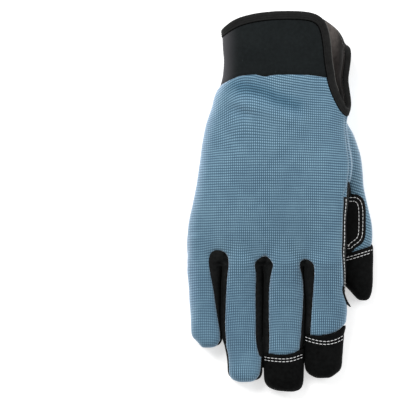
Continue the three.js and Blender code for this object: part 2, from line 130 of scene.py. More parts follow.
# The edges of the fingers seen from above: Y, left and right. Neighbours touch down to their tips
FINGER_EDGES = (
    ((-50, -62.9, -39.1), (-56, -62.4, -39.6), (-62, -62.0, -39.7), (-75, -61.2, -40.0),
     (-80, -60.9, -39.9), (-88, -60.5, -39.5), (-94, -60.25, -38.9), (-100, -60.0, -39.0)),
    ((-50, -39.5, -10.6), (-56, -40.0, -10.6), (-62, -40.1, -10.6), (-68, -40.2, -10.7),
     (-75, -40.4, -11.0), (-80, -40.3, -11.1), (-88, -40.0, -11.2), (-94, -39.3, -11.2),
     (-99, -37.6, -11.1), (-104, -36.7, -11.1), (-107, -36.2, -11.2), (-112, -35.6, -11.5),
     (-118, -35.6, -11.7)),
    ((-50, -11.1, 16.6), (-54, -11.1, 16.9), (-61, -11.1, 17.4), (-68, -11.1, 17.9),
     (-75, -11.4, 17.9), (-81, -11.6, 17.3), (-88, -11.7, 17.1), (-93, -11.8, 17.2),
     (-99, -11.7, 17.1), (-101.5, -11.7, 16.4), (-104, -11.5, 16.0), (-107, -10.8, 15.8),
     (-110, -10.2, 15.75), (-115, -10.1, 15.7)),
    ((-50, 16.2, 44.2), (-54, 16.5, 44.2), (-61, 17.0, 44.1), (-66, 17.4, 44.6), (-70, 17.5, 45.3),
     (-75, 17.5, 45.5), (-82, 16.9, 45.1), (-86, 16.6, 44.3), (-90, 16.8, 43.3), (-95, 17.1, 42.9),
     (-100, 17.2, 42.4), (-106, 17.3, 42.0), (-110, 17.6, 41.9)),
)

# How far the corners of each fingertip are drawn back, left and right, and how its end slants
TIP_CORNERS = ((4.0, 0.4, 0), (0.7, 0.5, 0), (0.3, 0, -1.2), (0.9, 2.2, 0))

# How far down neighbouring fingers touch: from there to there the contact wears off
CONTACT_ENDS = ((88, 96), (103, 109), (90, 98))

# How much each side of a finger is drawn in while the skin is joined, and where that wears off
FINGER_SLIM = 0.9
SLIM_FROM = -43
SLIM_TO = -50
VOXEL = 1.0
SMOOTHINGS = 6
UNEVENNESS = 0.18
# Where the thumb can be: from this X, between these two Y, below this height
THUMB_FROM_X = 12
THUMB_LOW_Y = -72
THUMB_HIGH_Y = 14
THUMB_BELOW = 26
# Which fingers a point can belong to, by its X
MIDDLE_FROM_X = -12
INDEX_FROM_X = 16.3
INDEX_TO_X = 50
WEDGE_FROM_Z = 14
# A point this near to the line of a cut is taken to lie on it
ON_LINE = 0.12
# Rays that look for the skin start this far above or below it, and this far on its thumb side
FAR_ABOVE = 60
FAR_ASIDE = 80
# Skin that is turned up less than this takes no stitches, and a row of fewer points is left out
LEAST_TURNED_UP = 0.2
SHORTEST_ROW = 5
ROW_SPACING = 0.8
MOUTH_SPACING = 1.2
WALL = 2.2
# A panel's edge at its seam and its middle, and a cap's edge, its middle and its thicker wall
SEAM_SUNK = 0.62
PANEL_FULL = 0.2
CAP_EDGE_RISE = 0.35
CAP_FULL = 0.5
CAP_THICKER = 0.5
STRIP_SUNK = 0.15
CUFF_SUNK = 0.12
PATCH_RISE = 0.85
PATCH_EDGE = 0.55
BINDING_WIDTH = 4.3
BINDING_INNER_WIDTH = 2.2
# The top of the tape's section: how far each point is from the sewn edge, and its height
TAPE_TOP = (
    (3.6, 0.12), (2.9, 0.14), (2.5, -0.2), (2.1, 0.14), (1.5, -0.02), (1.15, -0.4), (0.8, 0),
    (0.45, 0.02), (0.15, -0.12),
)
CORNER_ROUNDING = 9
BINDING_RISE = 0.7
LINING_END = 51
LINING_THICKNESS = 1.2
LINING_GAP = 0.75
LINING_ROLL = (2.6, 0.9, 2.2)
# Painted shade on the lining next to the tape on the far side of the slit: where it sets in along X
LINING_SLIT_SHADE = (38.4, 41.6)
LIP_FROM_X = 24
LIP_FROM_Z = 24
LIP_ENDS = (73, 120)
LIP_DEPTH = 1.8
LIP_OUT = 1.6
LIP_RADIUS = 0.47
# The lining's edge is real, but painted light grey as a highlight along the tape's inner edge
LIP_HIGHLIGHT_COLOUR = (0.13, 0.128, 0.12, 1.0)
# Painted light on the cuff's left side: where it fades out along X, and its lit colour
CUFF_PAINTED_LIGHT_SPAN = (-40, -26)
CUFF_LIT = (0.057, 0.056, 0.061, 1.0)
RIB_PITCH = 1.77
COLUMN_PITCH = 1.37

# What the camera sees: the middle of the frame, its width, and the height at which that holds
FRAME_CENTRE = (-54.34, 2.3)
FRAME_WIDTH = 272
FOCUS_LEVEL = 15
SENSOR_WIDTH = 36
# The stage, in metres and watts: half the floor's side, and where each light stands, its size
# and its power
FLOOR_HALF = 6
FLOOR_GREY = 0.86
FLOOR_GLOW = 0.5
SURROUND = 0.42
LIGHTS = (
    ("softbox", (-0.8, 0.95, 1.2), 1.0, 26.0),
    ("fill_panel", (0.95, 0.3, 0.9), 0.8, 6.5),
)

# Seams: the height of the side seam at two places across, and edges seen from above
SIDE_SEAM = (
    (150, 12, 30), (82, 9, 30), (40, 6.5, 32), (10, 6, 34), (4, 6, 36.2), (-42, 6, 34),
    (-61, 5.5, 24.2), (-80, 5, 15.5), (-100, 5, 9), (-140, 5, 8),
)
SIDE_SEAM_LOW_X = -70
SIDE_SEAM_HIGH_X = 50
INDEX_SIDE_DIP = 6
RIM_RISE = 5.2
GUSSET_END = 3.7
GUSSET_END_DROP = 1.4
THUMB_PARTS = 6
CUFF_SEAM = (
    (-90, 72), (-47, 75.5), (-40, 79), (-32.6, 82.3), (-27, 84.2), (-17, 84.8), (-11, 83.6),
    (-3, 84.6), (14, 84.7), (24, 83.9), (32, 82.9), (50, 82.6), (90, 82.6),
)
GUSSET_EDGE = (
    (17, 90), (19, 82), (22.4, 61.5), (27.2, 41), (34, 20.7), (39.4, 3.7), (46.2, -17.3), (50, -45),
)
INDEX_CAP_EDGE = (
    (10, -89.5), (16.3, -90.6), (20.4, -91.4), (26.5, -91.8), (32, -91.1), (37.4, -89.5),
    (40.8, -87.6), (43.9, -85.2), (50, -81.8),
)
MIDDLE_CAP_EDGE = (
    (-20, -102.6), (-12, -103.6), (-7.8, -104.3), (1.5, -105), (8, -104.2), (13, -102), (16, -100.8),
    (24, -98.5),
)
INDEX_CAP_ROW = (
    (14, -91.2), (17.4, -92.4), (20.8, -93.7), (26.5, -95.2), (32, -95.6), (37.4, -94.4), (41, -92.5),
    (47, -88.8),
)
MIDDLE_CAP_ROW = (
    (-14, -105), (-11, -105.8), (-7.8, -106.7), (1.5, -107.6), (8, -107), (13, -105.2), (16.2, -104.2),
    (19, -103.4),
)
THUMB_CAP_EDGE = ((5, -38), (35, -37.5), (45, -36.4), (62.6, -31), (75, -28))
THUMB_CAP_UNDER = ((5, -36), (22, -34), (35, -26.5), (46, -19.6), (54, -20.5), (61, -29), (75, -31))
TOUCH_TIP_EDGE = ((10, -74), (16.3, -74.2), (30, -75.5), (42, -74.5), (50, -73.5), (60, -73))
MOUTH = (
    (-60, 102), (-43, 112), (-38.8, 115.6), (-34.7, 119), (-29.8, 121.7), (-24.5, 123.4),
    (-16.5, 125.1), (-5, 126.3), (8, 126.6), (20, 125.7), (27.6, 124), (33, 120.6), (39.3, 115.3),
    (42.6, 109.8), (43.9, 106), (46.5, 104.6), (50, 104.2), (64, 103),
)
SLIT_X = 41.5
SLIT_Z = 30
SLIT_ANGLE = math.radians(30)
SLIT_EDGE = (
    (-10.5, 150), (-10, 108), (-9, 85), (-7.9, 71), (-6.5, 65), (-4.4, 61.8), (-2, 60.9),
    (0.3, 62), (2.2, 64.9), (3.9, 69.4), (5.2, 74), (6.1, 79), (6.9, 85.5), (8.5, 94),
    (10.2, 110), (10.7, 150),
)
FOURCHETTES = (
    ((-43.5, -33.7), (-46.9, -35.6), (-48.2, -39), (-48.3, -43.5), (-47.4, -49.5), (-45.8, -57.5),
     (-44.6, -64), (-43.3, -73), (-41.9, -82), (-40.6, -91), (-39.9, -97), (-38.4, -99),
     (-37, -97), (-37.4, -85), (-37.1, -71), (-36.7, -60), (-36, -50.7), (-35.4, -43.2),
     (-36.3, -37.8), (-38.8, -34.7)),
    ((-10.9, -38.1), (-14.2, -39), (-16.4, -41.6), (-17, -45), (-16.2, -50.7), (-16.6, -64.3),
     (-16.3, -78), (-16.3, -91.5), (-15.4, -99.6), (-13.4, -106), (-9.5, -107), (-7.9, -103.7),
     (-7.5, -92.8), (-7.9, -78), (-7.8, -61.5), (-6.8, -51.3), (-5.4, -45.2), (-6.1, -41.8),
     (-8, -39)),
    ((17, -40), (14.1, -41.4), (13.5, -44.5), (15, -52), (15.8, -61.5), (15.4, -75), (14.5, -90),
     (13.9, -104), (18, -106), (20.4, -98), (20.4, -91.2), (20.7, -84.7), (21.5, -71),
     (22.4, -57.5), (22.7, -46.6), (21.1, -41.8)),
)
PALM_PATCH_OUTER = (
    (-70, 63), (-50, 64), (-25, 65), (-15, 62), (-10.5, 55), (-9.5, 42), (-7, 28), (-1.6, 16),
    (7, 1), (11, -7), (10.5, -15), (7.5, -21), (1.4, -26.5), (-9, -25.5), (-18, -28), (-28, -23),
    (-45, -23.5), (-70, -24),
)
PALM_PATCH_INNER = (
    (-52, 49), (-29, 51), (-26, 46), (-25, 37), (-22, 21), (-18, 6), (-11.6, -5), (-11.7, -11),
    (-15.6, -15), (-31, -11), (-47, -7), (-51, 10),
)
PALM_PATCH_HIGHEST = 5.6
SADDLE_TOP = (
    (12, 4.5), (47, 4.5), (52.9, 3.8), (56.4, 0.8), (58, -5.5), (58.2, -17), (57.7, -24.8),
    (55.4, -29.3), (51, -32.4), (46, -35), (12, -35.6),
)
SADDLE_UNDER = (
    (21, 0), (24, 4), (32, 12), (40, 19), (46, 14), (50, 0), (56, -12), (58, -30), (36, -34),
    (24, -38), (18, -30), (17, -12),
)
SADDLE_SEAM = ((48, 26), (40, 19), (32, 12), (24, 4), (20, -1))
SADDLE_LEVEL = 9
SADDLE_HIGHEST = 26

# Long shallow folds of the leather, and dents of the knit, each along a line
FOLDS = (
    (-20, 72, 30, 58, 3.5, 0.9),
    (18, 60, 12, 10, 4, 1.3),
    (-58, -36, -44, -40, 2.2, 0.7),
    (-38, -40, -16, -44, 2.4, 0.8),
    (-10, -42, 14, -46, 2.4, 0.8),
    (-58, -66, -42, -66, 1.6, 0.35),
    (-38, -80, -14, -80, 1.8, 0.4),
    (-10, -84, 14, -84, 1.8, 0.4),
)
DENTS = (
    (-31, 74.4, -27.2, 73.4, 4.8, 1.5),
    (-27.2, 73.4, -15.6, 71.1, 4.8, 2.2),
    (-15.6, 71.1, -10.2, 69.4, 4.8, 2.2),
    (-10.2, 69.4, -3.4, 65.6, 4.8, 2.2),
    (-3.4, 65.6, 3.4, 62.9, 4.8, 2.2),
    (3.4, 62.9, 10.5, 60.6, 4.8, 2.0),
    (-32, 60.8, -23, 58, 3.8, 1.3),
    (-24, 64.5, 8, 54.5, 3.6, -0.7),
    (24, 74, 33, 70, 3.5, 0.5),
    (-37.8, -37.6, -36.8, -42, 1.2, 1.8),
    (-41.7, -43, -37.8, -45.9, 1.2, 1.3),
    (-41.5, -37.8, -39.6, -39.4, 1.5, -0.9),
    (-10.8, -38.1, -10.6, -45, 1.1, 1.7),
    (-15, -43, -10.8, -45.9, 1.1, 1.3),
    (-6.7, -43, -10.1, -45.9, 1.1, 1.3),
    (-13.6, -40.4, -13, -41, 1.4, -0.9),
    (-8.6, -41, -8.3, -41.8, 1.3, -0.9),
    (15.6, -41.5, 16.1, -46, 1.1, 1.6),
    (19, -43, 20, -46, 1.5, -0.9),
)
# The first dents get painted shade: how many, the depth at which it is full, and how far up the wrist
# it is moved, onto the slope that faces away from the light
WRIST_DENTS = 6
WRIST_DENT_DEPTH = 2.2
WRIST_SLOPE = 3.8
# How the ribs bend where the wrist is drawn together: places across, and how far they dip
WRIST_SWEEP = (
    (-48, 8), (-42, 3.4), (-36, -1), (-31, -3.6), (-26, -4.7), (-20, -4.3), (-12, -2.3), (0, 1),
    (20, 4), (34, 4.6), (46, 8),
)
# Where the ribs bow over the tops of the strips, how far round each top, and how deep
STRIP_TOPS = ((-42, -33.4), (-12, -37.8), (17, -39))
STRIP_TOP_REACH = 9
STRIP_TOP_BOW = 1.8
# How much of the knit's red, green and blue painted shade takes from the wrist's folds, and painted
# light adds along its outer edge
WRIST_SHADE = (0.35, 0.21, 0.15)
EDGE_LIGHT = (0.42, 0.3, 0.29)
# How strong the ribs of the knit look at places along Y
RIB_DEPTH = ((-115, -95, -61, -27, 14, 58, 76), (0.48, 0.62, 0.78, 0.86, 1, 1, 1.15))
THUMB_COLUMN_DEPTH = 0.5
THUMB_RIB_DEPTH = 1.15
WEDGE = ((45.2, 2.8), (45.7, 11.6), (46.5, 12.6), (47.3, 10.8), (48.4, 3.8), (47, 1.8))
# The end of the strip down the index side: Y, height, how far off the skin, and half its width
STRIP_END = (
    (-58, 25.2, -0.8, 0.6), (-61, 23.7, -0.5, 0.9), (-64, 22, -0.3, 0.95), (-66.8, 20.4, 0.0, 0.95),
    (-69.2, 19, 0.6, 0.85), (-70.8, 18.3, 1.5, 0.7), (-71.9, 17.9, 2.4, 0.45), (-72.3, 17.8, 2.9, 0.1),
)


def rows(columns, table):
    """A table as one array for each named column."""
    return {name: np.array([row[i] for row in table]) for i, name in enumerate(columns)}


def smoothstep(value, low, high):
    """0 below low, 1 above high and smooth between."""
    t = np.clip((value - low) / (high - low), 0, 1)
    return t * t * (3 - 2 * t)


def section_at(columns, y):
    """Every column of a table at a place along Y, by cubics through its rows."""
    places = columns["y"]
    last = len(places) - 2
    i = int(np.clip(np.searchsorted(-places, -y) - 1, 0, last))
    span = places[i + 1] - places[i]
    t = (y - places[i]) / span
    section = {}
    for name, values in columns.items():
        slopes = []
        for k in (i, i + 1):
            before = max(k - 1, 0)
            after = min(k + 1, last + 1)
            slopes.append((values[after] - values[before]) / (places[after] - places[before]))
        section[name] = (
            values[i] * (2 * t**3 - 3 * t**2 + 1)
            + values[i + 1] * (3 * t**2 - 2 * t**3)
            + span * slopes[0] * (t**3 - 2 * t**2 + t)
            + span * slopes[1] * (t**3 - t**2)
        )
    return section


def ring(section, y, sides):
    """One ring round a section: rounded above, pressed flat below."""
    angle = np.arange(sides) * 2 * np.pi / sides
    c = np.cos(angle)
    s = np.sin(angle)
    centre = (section["left"] + section["right"]) / 2
    half = (section["right"] - section["left"]) / 2
    x = centre + half * np.sign(c) * np.abs(c) ** (2 / SQUARENESS)
    share = (x - section["left"]) / (section["right"] - section["left"])
    level = section["mid_left"] + share * (section["mid_right"] - section["mid_left"])
    reach = np.abs(s) ** (2 / SQUARENESS)
    floor = section["floor"] + section["rise"] * smoothstep(x, RISE_FROM, RISE_TO)
    top = level + section["up"] * reach
    under = np.maximum(floor, level - (level - floor + PRESS) * reach)
    return np.stack([x, np.full(sides, y), np.where(s >= 0, top, under)], axis=1)


def hand_rings():
    columns = rows(HAND_COLUMNS, HAND)
    places = [140, 132, 124, 116, 110, *range(104, -42, -4), -41, -43, -44.5]
    return [ring(section_at(columns, y), y, HAND_SIDES) for y in places]


def thumb_rings():
    columns = rows(THUMB_COLUMNS, THUMB)
    places = [70, *range(66, -60, -4), -60, -62, -64, -65.5, -66.6, -67.5]
    rings = []
    for y in places:
        section = section_at(columns, y)
        section.update(mid_left=section["mid"], mid_right=section["mid"], rise=0)
        rings.append(ring(section, y, THUMB_SIDES))
    return rings


def finger_sides(row, y):
    """How far down a finger a place along Y is, and the finger's left and right side there."""
    t = np.clip((FINGER_ROOT - y) / (FINGER_ROOT - (row["tip"] + TIP_LENGTH)), 0, 1)
    left = row["root_left"] + t * (row["tip_left"] - row["root_left"])
    right = row["root_right"] + t * (row["tip_right"] - row["root_right"])
    return t, left, right


def finger_section(row, y, swell=1):
    """The section of a finger at a place along Y, where swell narrows it towards the tip."""
    t, left, right = finger_sides(row, y)
    bend = (1 - t) ** FINGER_BEND_POWER
    inset = FINGER_ROOT_INSET if y > FINGER_ROOT else 0
    left += inset
    right -= inset
    slimming = FINGER_SLIM * smoothstep(-y, -SLIM_FROM, -SLIM_TO)
    half = ((right - left) / 2 - slimming) * swell
    mid = TIP_MID + bend * (row["mid"] - TIP_MID)
    floor = row["rest"] + bend * (row["floor"] - row["rest"])
    return {
        "left": (left + right) / 2 - half,
        "right": (left + right) / 2 + half,
        "mid_left": mid,
        "mid_right": mid,
        "up": (TIP_UP + bend * (row["up"] - TIP_UP)) * swell,
        "floor": mid - (mid - floor) * swell,
        "rise": 0,
    }


def finger_rings(row):
    straight = np.arange(FINGER_ROOT, row["tip"] + TIP_LENGTH, -3.0)
    straight = np.concatenate([[FINGER_START, -33], straight])
    rings = [ring(finger_section(row, y), y, FINGER_SIDES) for y in straight]
    for step in TIP_STEPS:
        swell = (1 - (1 - step) ** TIP_SQUARENESS) ** (1 / TIP_SQUARENESS)
        y = row["tip"] + TIP_LENGTH * step
        rings.append(ring(finger_section(row, y, swell), y, FINGER_SIDES))
    return rings


def tube(rings):
    """A mesh rolled through rings of points, with its ends closed."""
    bm = bmesh.new()
    sides = len(rings[0])
    spans = len(rings) - 1
    grid = bmesh.ops.create_grid(bm, x_segments=sides, y_segments=spans, size=1)
    for vert in grid["verts"]:
        column = round((vert.co.x + 1) / 2 * sides)
        row = round((vert.co.y + 1) / 2 * spans)
        vert.co = Vector(rings[row][column % sides])
    bmesh.ops.remove_doubles(bm, verts=bm.verts, dist=1e-5)
    ends = [edge for edge in bm.edges if edge.is_boundary]
    if ends:
        bmesh.ops.holes_fill(bm, edges=ends, sides=0)
    bmesh.ops.recalc_face_normals(bm, faces=bm.faces)
    return bm


def coordinates(bm):
    """The places of all vertices of a bmesh as one array."""
    return np.array([vert.co[:] for vert in bm.verts])


def set_coordinates(bm, places):
    for vert, place in zip(bm.verts, places):
        vert.co = Vector(place)


def face_places(bm):
    """The middles of all faces of a bmesh as one array."""
    return np.array([face.calc_center_median()[:] for face in bm.faces])


def drop_faces(bm, gone):
    """Deletes the faces of a bmesh that an array of truths marks."""
    faces = [face for face, out in zip(bm.faces, gone) if out]
    bmesh.ops.delete(bm, geom=faces, context="FACES")


def spline(points, steps, closed=False):
    """A smooth chain of points through a few points."""
    points = np.asarray(points, dtype=float)
    n = len(points)
    out = []
    for i in range(n if closed else n - 1):
        near = [i + k for k in (-1, 0, 1, 2)]
        p = [points[j % n if closed else min(max(j, 0), n - 1)] for j in near]
        for step in range(steps):
            t = step / steps
            square = (2 * p[0] - 5 * p[1] + 4 * p[2] - p[3]) * t**2
            cube = (3 * p[1] - p[0] - 3 * p[2] + p[3]) * t**3
            out.append(0.5 * (2 * p[1] + (p[2] - p[0]) * t + square + cube))
    if not closed:
        out.append(points[-1])
    return np.array(out)


def distance_to_chain(points, chain, closed):
    """Distance of each point from a chain, and whether it lies inside a closed one."""
    nearest = np.full(len(points), 1e9)
    inside = np.zeros(len(points), dtype=bool)
    ends = np.roll(chain, -1, axis=0) if closed else chain[1:]
    for a, b in zip(chain, ends):
        along = b - a
        length = max(float(along @ along), 1e-12)
        t = np.clip((points - a) @ along / length, 0, 1)
        gap = points - a - t[:, None] * along
        nearest = np.minimum(nearest, (gap**2).sum(axis=1))
        if closed:
            crosses = (a[1] > points[:, 1]) != (b[1] > points[:, 1])
            rise = b[1] - a[1] if b[1] != a[1] else 1e-12
            at = a[0] + (points[:, 1] - a[1]) / rise * (b[0] - a[0])
            inside ^= crosses & (points[:, 0] < at)
    return np.sqrt(nearest), inside


def signed_distance(points, chain):
    """How far inside a closed chain a point of a plane lies: outside it is below 0."""
    distance, inside = distance_to_chain(points, chain, True)
    return np.where(inside, distance, -distance)


def outline_field(outline):
    """How far inside a closed outline, seen from above, a point lies."""
    chain = spline(outline, 6, closed=True)
    low = chain.min(axis=0) - 6
    high = chain.max(axis=0) + 6

    def field(points):
        near = np.all((points[:, :2] > low) & (points[:, :2] < high), axis=1)
        values = np.full(len(points), -20.0)
        values[near] = signed_distance(points[near, :2], chain)
        return values

    return field


def edge_field(edge, axis):
    """How far above an edge a point lies along Y (axis 1), or beyond it along X (axis 0)."""
    chain = spline(edge, 8)
    order = np.argsort(chain[:, 1 - axis])
    at = chain[order, 1 - axis]
    value = chain[order, axis]

    def field(points):
        return points[:, axis] - np.interp(points[:, 1 - axis], at, value)

    return field


def side_seam_level(x, y):
    """The height of the side seam, without its dip and its rises."""
    seam = np.array(SIDE_SEAM)[::-1]
    low = np.interp(y, seam[:, 0], seam[:, 1])
    high = np.interp(y, seam[:, 0], seam[:, 2])
    share = (x - SIDE_SEAM_LOW_X) / (SIDE_SEAM_HIGH_X - SIDE_SEAM_LOW_X)
    return low + share * (high - low)


def side_seam_field(points):
    """How far above the side seam a point lies."""
    x, y, z = points.T
    level = side_seam_level(x, y)
    level -= INDEX_SIDE_DIP * smoothstep(x, 36, 43) * smoothstep(-y, 62, 68) * smoothstep(y, -93, -86)
    near_pinky = 1 - smoothstep(np.abs(x + 38.6), 2.5, 6)
    near_middle = (1 - smoothstep(np.abs(x + 12.2), 2.5, 6)) * (x < -11.5)
    level += RIM_RISE * np.maximum(near_pinky, near_middle) * smoothstep(-y, 82, 97)
    return z - level


def mouth_field(points):
    """How far a point lies from the edge of the mouth and the slit: past it, it is above 0."""
    mouth = spline(MOUTH, 6)
    distance, _ = distance_to_chain(points[:, :2], mouth, False)
    past = points[:, 1] > np.interp(points[:, 0], mouth[:, 0], mouth[:, 1])
    values = np.where(past, distance, -distance)
    x = points[:, 0] - SLIT_X
    z = points[:, 2] - SLIT_Z
    across = z * math.cos(SLIT_ANGLE) - x * math.sin(SLIT_ANGLE)
    out = x * math.cos(SLIT_ANGLE) + z * math.sin(SLIT_ANGLE)
    slit = signed_distance(np.stack([across, points[:, 1]], axis=1), spline(SLIT_EDGE, 6))
    slit = np.where(out > -20, slit, -1e3)
    share = np.clip(0.5 + 0.5 * (values - slit) / CORNER_ROUNDING, 0, 1)
    return slit + (values - slit) * share + CORNER_ROUNDING * share * (1 - share)


cuff_field = edge_field(CUFF_SEAM, 1)
gusset_field = edge_field(GUSSET_EDGE, 0)
index_cap_field = edge_field(INDEX_CAP_EDGE, 1)
middle_cap_field = edge_field(MIDDLE_CAP_EDGE, 1)
thumb_cap_top = edge_field(THUMB_CAP_EDGE, 1)
thumb_cap_under = edge_field(THUMB_CAP_UNDER, 1)
touch_tip_field = edge_field(TOUCH_TIP_EDGE, 1)
fourchette_fields = [outline_field(outline) for outline in FOURCHETTES]
wedge_field = outline_field(WEDGE)

made = {}


def thumb_cap_field(points):
    share = smoothstep(points[:, 2], 4, 13)
    return share * thumb_cap_top(points) + (1 - share) * thumb_cap_under(points)


def joined_skin():
    """The whole outer skin as one even mesh: hand, fingers and thumb rolled, joined and smoothed."""
    bm = bmesh.new()
    beside = bmesh.new()
    tubes = {"hand": hand_rings(), "thumb": thumb_rings()}
    tubes.update({row["name"]: finger_rings(row) for row in FINGER_ROWS})
    for name, rings in tubes.items():
        rolled = tube(rings)
        if name == "thumb":
            made["thumb_tree"] = BVHTree.FromBMesh(rolled)
        part = bpy.data.meshes.new(name)
        rolled.to_mesh(part)
        rolled.free()
        bm.from_mesh(part)
        if name in ("hand", "index"):
            beside.from_mesh(part)
        bpy.data.meshes.remove(part)
    made["hand_tree"] = BVHTree.FromBMesh(beside)
    beside.free()
    mesh = bpy.data.meshes.new("skin")
    bm.to_mesh(mesh)
    bm.free()
    holder = bpy.data.objects.new("skin", mesh)
    bpy.context.scene.collection.objects.link(holder)
    remesh = holder.modifiers.new("even", "REMESH")
    remesh.mode = "VOXEL"
    remesh.voxel_size = VOXEL
    graph = bpy.context.evaluated_depsgraph_get()
    even = bpy.data.meshes.new_from_object(holder.evaluated_get(graph))
    skin = bmesh.new()
    skin.from_mesh(even)
    bpy.data.objects.remove(holder)
    bpy.data.meshes.remove(mesh)
    bpy.data.meshes.remove(even)
    for _ in range(SMOOTHINGS):
        bmesh.ops.smooth_vert(
            skin, verts=skin.verts, factor=0.5, use_axis_x=True, use_axis_y=True, use_axis_z=True
        )
    return skin


def finger_edges(number, y):
    """The left and right edge of a finger at places along Y."""
    table = np.array(FINGER_EDGES[number])[::-1]
    return np.interp(y, table[:, 0], table[:, 1]), np.interp(y, table[:, 0], table[:, 2])


def widen_fingers(skin):
    """Draws each finger out to its own edges, so that neighbours touch."""
    points = coordinates(skin)
    x, y, _ = points.T
    weight = smoothstep(-y, -SLIM_FROM, -SLIM_TO)
    placed = points.copy()
    for number, row in enumerate(FINGER_ROWS):
        _, left, right = finger_sides(row, y)
        own = (y < SLIM_FROM) & (x > left - 0.3) & (x < right + 0.3)
        if row["name"] == "index":
            own &= thumb_field(points) > 0
        tip_start = row["tip"] + TIP_LENGTH
        levels = np.arange(tip_start, SLIM_TO, 1.5)
        bands = [x[own & (np.abs(y - level) < 1)] for level in levels]
        low = np.interp(y, levels, [band.min() for band in bands])
        high = np.interp(y, levels, [band.max() for band in bands])
        new_left, new_right = finger_edges(number, y)
        grown = new_left + (x - low) * (new_right - new_left) / (high - low)
        placed[own, 0] = (x + weight * (grown - x))[own]
        across = (2 * x - low - high) / (high - low)
        left_corner, right_corner, slant = TIP_CORNERS[number]
        drawn = left_corner * smoothstep(-across, 0.25, 0.8)
        drawn += right_corner * smoothstep(across, 0.25, 0.8)
        drawn += slant * np.clip(across, -1, 1)
        placed[own, 1] += (drawn * smoothstep(-y, -tip_start - 6, -row["tip"]))[own]
    set_coordinates(skin, placed)


def apart(points):
    """0 where neighbouring fingers touch, and 1 away from there."""
    x, y, _ = points.T
    value = np.ones(len(points))
    for number in range(3):
        line = finger_edges(number, y)[1]
        near = smoothstep(np.abs(x - line), 0.3, 4)
        near += (1 - near) * smoothstep(-y, *CONTACT_ENDS[number])
        value = np.minimum(value, near)
    return np.where(y < -44, value, 1)


def thumb_field(points):
    """How much nearer a point lies to the hand's skin than to the thumb's: below 0 on the thumb."""
    x, y, z = points.T
    near = (x > THUMB_FROM_X) & (y < THUMB_HIGH_Y) & (y > THUMB_LOW_Y) & (z < THUMB_BELOW)
    values = np.full(len(points), 9.0)
    for i in np.nonzero(near)[0]:
        place = Vector(points[i])
        to_thumb = made["thumb_tree"].find_nearest(place)[3]
        to_hand = made["hand_tree"].find_nearest(place)[3]
        values[i] = to_thumb - to_hand
    return values


def valleys(points, table):
    """How deep a table of valleys, each along a line seen from above, is at each point."""
    sunk = np.zeros(len(points))
    raised = np.zeros(len(points))
    for x1, y1, x2, y2, width, deep in table:
        along = np.array([x2 - x1, y2 - y1], dtype=float)
        start = points[:, :2] - (x1, y1)
        t = np.clip(start @ along / (along @ along), 0, 1)
        gap = np.sqrt(((start - t[:, None] * along) ** 2).sum(axis=1))
        depth = deep * np.exp(-((gap / width) ** 2))
        sunk = np.maximum(sunk, depth)
        raised = np.minimum(raised, depth)
    return sunk + raised


def dent(skin):
    """Long dents, soft wrinkles and the unevenness that cloth has, pressed into the skin."""
    skin.normal_update()
    points = coordinates(skin)
    normals = np.array([vert.normal[:] for vert in skin.verts])
    x, y, z = points.T
    above = smoothstep(side_seam_field(points), -2, 6)
    depth = valleys(points, DENTS) * above + valleys(points, FOLDS) * (1 - above)
    wave = np.sin(x * 0.21 + np.sin(y * 0.09) * 2) * np.sin(y * 0.17 + np.cos(x * 0.07) * 2.4)
    depth += UNEVENNESS * wave * smoothstep(z, 1, 5)
    depth *= apart(points)
    set_coordinates(skin, points - depth[:, None] * normals)


def cut(skin, field, where=None):
    """Splits the faces of a skin along the line on which a field is 0, where that is allowed."""
    skin.verts.index_update()
    skin.verts.ensure_lookup_table()
    skin.edges.ensure_lookup_table()
    points = coordinates(skin)
    allowed = np.ones(len(points), dtype=bool) if where is None else where(points)
    values = np.full(len(points), 9.0)
    values[allowed] = field(points[allowed])
    values[np.abs(values) < ON_LINE] = 0
    pairs = np.array([(edge.verts[0].index, edge.verts[1].index) for edge in skin.edges])
    signs = values[pairs[:, 0]] * values[pairs[:, 1]]
    crossing = (signs < 0) & allowed[pairs].all(axis=1)
    on_line = dict.fromkeys(skin.verts[i] for i in np.nonzero((values == 0) & allowed)[0])
    side = {vert: values[vert.index] for vert in skin.verts}
    for edge in [skin.edges[i] for i in np.nonzero(crossing)[0]]:
        start, end = edge.verts
        share = side[start] / (side[start] - side[end])
        _, vert = bmesh.utils.edge_split(edge, start, share)
        on_line[vert] = None
        side[vert] = 0
    # The faces keep the order in which they are found, so every run splits them alike
    faces = list(dict.fromkeys(face for vert in on_line for face in vert.link_faces))
    while faces:
        face = faces.pop()
        verts = list(face.verts)
        marks = [i for i, vert in enumerate(verts) if vert in on_line]
        if len(marks) < 2 or len(verts) < 4:
            continue
        for k, i in enumerate(marks):
            j = marks[(k + 1) % len(marks)]
            count = (j - i) % len(verts)
            between = [side[verts[(i + n) % len(verts)]] for n in range(1, count)]
            outside = [side[verts[(j + n) % len(verts)]] for n in range(1, len(verts) - count)]
            if not between or not outside:
                continue
            if min(between) < 0 < max(outside) or min(outside) < 0 < max(between):
                other, _ = bmesh.utils.face_split(face, verts[i], verts[j])
                faces += [face, other]
                break


def above_seam(points):
    return side_seam_field(points) > -1.5


def below_seam(points):
    return side_seam_field(points) < 1.5


def gusset_below(points):
    return below_seam(points) & (points[:, 0] > THUMB_FROM_X) & (points[:, 1] > -50)


def gusset_end_field(points):
    """How far above the thumb gusset's lower edge a point lies: it runs down towards the knit."""
    drop = GUSSET_END_DROP * smoothstep(points[:, 2], 25, 34) * (points[:, 0] > 36)
    return points[:, 1] - GUSSET_END + drop


